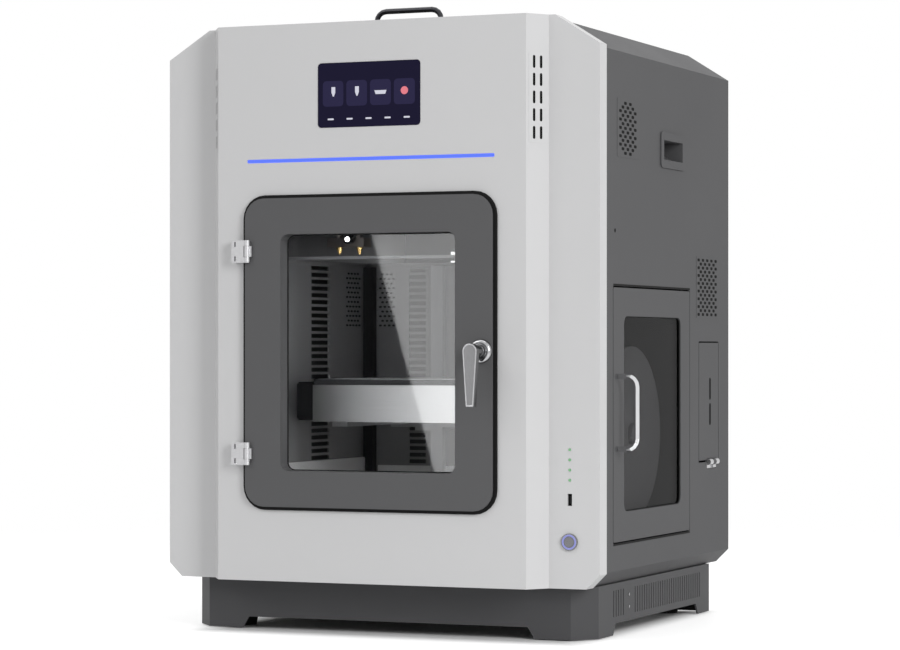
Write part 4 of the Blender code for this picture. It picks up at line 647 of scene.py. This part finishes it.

# right side: strips above and below the filament door, dark plates of painted shade in the slots of
# the flap
doorStrips = {"x": (244.6, 245.25), "y": (79, 331), "low": (97.6, 99.5), "high": (370, 372.2),
              "soft": 0.1, "steps": 1}
for label in ("low", "high"):
    addBlock(label + "DoorStrip", {**doorStrips, "z": doorStrips[label]}, "rubber", "cabinet")
flapSlots = {"y": 404, "zs": (229.5, 258.5), "width": 6.0, "height": 25, "corner": 2.9, "steps": 4,
             "depth": (244.9, 245.1)}
for i, z in enumerate(flapSlots["zs"]):
    addRoundedPlate(f"flapSlot{i}", (flapSlots["y"], z), flapSlots, "yz", "dark", "filter_flap")

# lever: bright rim round its outer face, partly a painted highlight in a lighter steel than the
# lever, partly the light its bevel catches; domed ring under its neck
lever = {"x": 130, "z": 301.5, "half": 8.0, "tip": 4.25, "length": 57, "headSteps": 9}
leverEdgeHighlight = {"outerInset": 0.1, "innerInset": 1.5, "depth": (-36.35, -35.95), "soft": 0.3}
rosetteDome = {"sides": 40, "profile": [  # radius and depth of each row
    (8.6, -6.1), (12.8, -6.1), (12.8, -7.2), (12.4, -8.6), (11.5, -10.0), (10.3, -10.9),
    (9.2, -11.05), (8.6, -10.6)]}


def leverOutline(inset):
    half, low = lever["half"] - inset, lever["z"] - lever["length"] + inset
    tip = lever["tip"] - inset
    points = [(lever["x"] - tip, low), (lever["x"] + tip, low), (lever["x"] + half, lever["z"])]
    for i in range(lever["headSteps"]):
        angle = math.pi * (i + 0.5) / lever["headSteps"]
        points.append(onCircle(lever["x"], lever["z"], half, angle))
    return points + [(lever["x"] - half, lever["z"])]


rimOuter, rimInner = (leverOutline(leverEdgeHighlight[edge]) for edge in ("outerInset", "innerInset"))
addRing("leverEdgeHighlight", rimOuter, rimInner, leverEdgeHighlight, "xz", "rosette", "lever")
leverNeck = (lever["x"], lever["z"])
domeRows = [[at(u, depth, v) for u, v in circleOutline(leverNeck, radius, rosetteDome["sides"])]
            for radius, depth in rosetteDome["profile"]]
addPiece("rosetteDome", bandMesh("rosetteDome", domeRows, smooth=True), "rosette", "front_door")

# chamber: lamp bar in the front right corner, sills, post in the rear left corner
chamberLamp = {"x": (135.3, 137.7), "y": (31.0, 36.0), "z": (156, 352), "soft": 0.3, "steps": 2}
addBlock("chamberLamp", chamberLamp, "lamp", "cabinet")
rearSill = {"x": (-124, 137.5), "y": (298.0, 299.6), "z": (152.3, 169.5), "soft": 0.4, "steps": 2}
addBlock("rearSill", rearSill, "floor", "cabinet")
leftSill = {"x": (-137.6, -134.5), "y": (40, 286), "z": (152.3, 179), "soft": 0.6, "steps": 2}
addBlock("leftSill", leftSill, "floor", "cabinet")
cornerPost = {"x": (-137.7, -125), "y": (287, 297.5), "z": (152.5, 399), "soft": 0.8, "steps": 2}
addBlock("cornerPost", cornerPost, "plastic", "cabinet")

# bed: print sheet, bracket at its left end and the tie that holds it
printSheet = {"middle": (0, 170), "width": 200, "height": 174, "corner": 5, "steps": 6,
              "depth": (271.02, 271.8)}
addRoundedPlate("printSheet", printSheet["middle"], printSheet, "xy", "satin", "bed")
bedBracket = {"x": (-126, -104), "y": (86, 104), "z": (226, 268), "soft": 2.0, "steps": 3}
addBlock("bedBracket", bedBracket, "plastic", "bed")
bedBracketTie = {"x": (-104.5, -84), "y": (99.4, 103), "z": (247, 262), "soft": 0.5, "steps": 2}
addBlock("bedBracketTie", bedBracketTie, "plastic", "bed")

# print head: fan ring, hub and blades, lamp in its pod
fanMiddle = (-80, 466)
headFanRing = {"outer": 19, "inner": 16.5, "depth": (100.4, 102.2), "soft": 0.4}
addRoundRing("headFanRing", fanMiddle, headFanRing, "satin", "head")
headFanHub = {"outer": 6, "inner": 1, "depth": (100.8, 102.1), "soft": 0.3}
addRoundRing("headFanHub", fanMiddle, headFanHub, "plastic", "head")
headFanBlades = {"count": 7, "depth": (101.2, 101.9), "outline": (  # radius and angle
    (6.4, 0.0), (11, 0.16), (16, 0.36), (16, 0.86), (11, 0.70), (6.4, 0.62))}
for i in range(headFanBlades["count"]):
    sweep = 2 * math.pi * i / headFanBlades["count"]
    blade = [onCircle(*fanMiddle, radius, sweep + lead)
             for radius, lead in headFanBlades["outline"]]
    addPlate(f"headFanBlade{i}", blade, headFanBlades["depth"], "xz", "plastic", "head")
headLampPod = {"x": (-77, -68.4), "y": (104.4, 112), "z": (419.5, 432.0), "soft": 1.2, "steps": 3}
addBlock("headLampPod", headLampPod, "plastic", "head")
headLamp = {"place": (-72.7, 104.2, 424), "radius": 2.6, "height": 1.0, "sides": 16}
studs("headLamp", [headLamp["place"]], headLamp, "front", "headLight", "head")

# screen picture: four plain tiles with simple shapes, a row of dashes
screenTiles = {"xs": (-41.25, -13.75, 13.75, 41.25), "z": 574, "width": 24, "height": 27,
               "corner": 4, "steps": 4, "depth": (-0.66, -0.59)}
for i, x in enumerate(screenTiles["xs"]):
    addRoundedPlate(f"screenTile{i}", (x, screenTiles["z"]), screenTiles, "xz", "tile", "cabinet")
spoutShape = ((-2.2, 6), (2.2, 6), (2.2, 0), (0.6, -4), (-0.6, -4), (-2.2, 0))
trayShape = ((-7, 1), (7, 1), (5.5, -3), (-5.5, -3))
screenShapes = {"z": 575, "depth": (-0.72, -0.65),
                "outlines": ((-40.9, spoutShape), (-13.4, spoutShape), (13.75, trayShape))}
for i, (x, shape) in enumerate(screenShapes["outlines"]):
    outline = [(x + u, screenShapes["z"] + v) for u, v in shape]
    addPlate(f"screenShape{i}", outline, screenShapes["depth"], "xz", "glyph", "cabinet")
screenDot = {"middle": (41.3, 575), "radius": 4.2, "sides": 20, "depth": (-0.72, -0.65)}
dotOutline = circleOutline(screenDot["middle"], screenDot["radius"], screenDot["sides"])
addPlate("screenDot", dotOutline, screenDot["depth"], "xz", "rosy", "cabinet")
screenDashes = {"xs": (-44, -22, 0, 22, 44), "z": 547, "width": 7, "height": 1.8,
                "corner": 0.6, "steps": 2, "depth": (-0.70, -0.59)}
for i, x in enumerate(screenDashes["xs"]):
    middle = (x, screenDashes["z"])
    addRoundedPlate(f"screenDash{i}", middle, screenDashes, "xz", "glyph", "cabinet")
print("small pieces added")


# studio: floor that fades into the white surround, and a bright card and a black flag that the
# door glass mirrors
stageGrain = {"scale": 30.0, "variation": 0.01}
paleFloor = {"half": 2.2, "grey": 0.84, "roughness": 0.6, "glow": 0.46, "full": 0.7, "faded": 1.9,
             "plinth": 0.215, "edge": 0.02}
mirrorCard = {"grey": 0.0, "roughness": 0.9, "strength": 3.2, "corners": [
    (-921, -2000, 513), (-740, -2000, 513), (-740, -2000, 60), (-790, -2000, 60)]}
blackFlag = {"grey": 0.0, "roughness": 0.9, "strength": 0.0, "corners": [
    (-1120, -2010, 530), (-738, -2010, 530), (-738, -2010, 50), (-1120, -2010, 50)]}


def seenRays(tree):
    # 1 where the eye sees the surround: straight, mirrored or through glass
    ray = addNode(tree, "ShaderNodeLightPath").outputs
    mirrored = addMath(tree, "MAXIMUM", ray["Is Camera Ray"], ray["Is Glossy Ray"])
    return addMath(tree, "MAXIMUM", mirrored, ray["Is Transmission Ray"])


def stageMaterial(name, look, strength):
    grain = {"Color": (*[look["grey"]] * 3, 1), "Scale": stageGrain["scale"],
             "Variation": stageGrain["variation"], "Roughness": look["roughness"]}
    shading = {"Emission Color": (1, 1, 1, 1), "Emission Strength": strength}
    return newMaterial(name, powderCoat, grain, shading)


def stageSheet(name, corners, material):
    mesh = bpy.data.meshes.new(name)
    mesh.from_pydata(corners, [], [(0, 1, 2, 3)])
    return plainObject(name, mesh, material)


def stageCard(name, look):
    corners = [at(*corner) for corner in look["corners"]]
    card = stageSheet(name, corners, stageMaterial(name, look, look["strength"]))
    card.visible_camera = card.visible_diffuse = card.visible_shadow = False
    return card


floorMaterial = stageMaterial("paleFloor", paleFloor, 0.0)
floorTree = floorMaterial.node_tree
floorSpot = addNode(floorTree, "ShaderNodeTexCoord").outputs["Object"]
floorGlow = addNode(floorTree, "ShaderNodeMapRange", {
    "Value": seenRays(floorTree), "To Max": paleFloor["glow"]})
# the glow stops under the plinth, so that it stays dark there
floorAway = addNode(floorTree, "ShaderNodeVectorMath", {0: floorSpot}, operation="ABSOLUTE")
floorParts = addNode(floorTree, "ShaderNodeSeparateXYZ", {
    "Vector": floorAway.outputs["Vector"]}).outputs
floorOpen = addNode(floorTree, "ShaderNodeMapRange", {
    "Value": addMath(floorTree, "MAXIMUM", floorParts["X"], floorParts["Y"]),
    "From Min": paleFloor["plinth"] - paleFloor["edge"],
    "From Max": paleFloor["plinth"] + paleFloor["edge"]})
floorLight = addMath(floorTree, "MULTIPLY", floorOpen.outputs["Result"],
                     floorGlow.outputs["Result"])
floorReach = addNode(floorTree, "ShaderNodeVectorMath", {0: floorSpot}, operation="LENGTH")
floorFade = addNode(floorTree, "ShaderNodeMapRange", {
    "Value": floorReach.outputs["Value"], "From Min": paleFloor["full"],
    "From Max": paleFloor["faded"], "To Min": 1.0, "To Max": 0.0}, interpolation_type="SMOOTHSTEP")
setInputs(floorTree, floorTree.nodes["Principled BSDF"],
          {"Emission Strength": floorLight, "Alpha": floorFade.outputs["Result"]})
half = paleFloor["half"]
floorCorners = [(-half, -half, 0), (half, -half, 0), (half, half, 0), (-half, half, 0)]
floorPiece = stageSheet("paleFloor", floorCorners, floorMaterial)
cardPiece = stageCard("mirrorCard", mirrorCard)
flagPiece = stageCard("blackFlag", blackFlag)

# white surround for the eye, a dimmer one for what it lights
surround = {"seen": 1.0, "ambient": 0.48}
world = bpy.data.worlds.new("studioWorld")
scene.world = world
world.use_nodes = True
worldTree = world.node_tree
seenShare = addNode(worldTree, "ShaderNodeMapRange", {
    "Value": seenRays(worldTree), "To Min": surround["ambient"], "To Max": surround["seen"]})
setInputs(worldTree, worldTree.nodes["Background"],
          {"Color": (1, 1, 1, 1), "Strength": seenShare.outputs["Result"]})

softboxes = {  # metres and watts
    "keyBox": {"place": (-2.0, -2.7, 2.5), "aim": (0, 0, 0.35), "size": (1.8, 1.8), "power": 26},
    "facetBox": {"place": (2.7, -1.9, 1.3), "aim": (0, -0.1, 0.4), "size": (0.9, 1.6), "power": 58},
    "sideBox": {"place": (2.4, 0.4, 2.1), "aim": (0, 0, 0.35), "size": (1.2, 1.4), "power": 4},
    "topBox": {"place": (0, 0.2, 2.8), "aim": (0, 0, 0.3), "size": (2.0, 2.0), "power": 21},
}
for name, look in softboxes.items():
    light = bpy.data.lights.new(name, "AREA")
    light.shape = "RECTANGLE"
    light.size, light.size_y = look["size"]
    light.energy = look["power"]
    box = bpy.data.objects.new(name, light)
    scene.collection.objects.link(box)
    box.location = look["place"]
    toward = Vector(look["aim"]) - Vector(look["place"])
    box.rotation_euler = toward.to_track_quat("-Z", "Y").to_euler()
print("studio lit")

scene.view_settings.view_transform = "Standard"
bpy.context.view_layer.update()
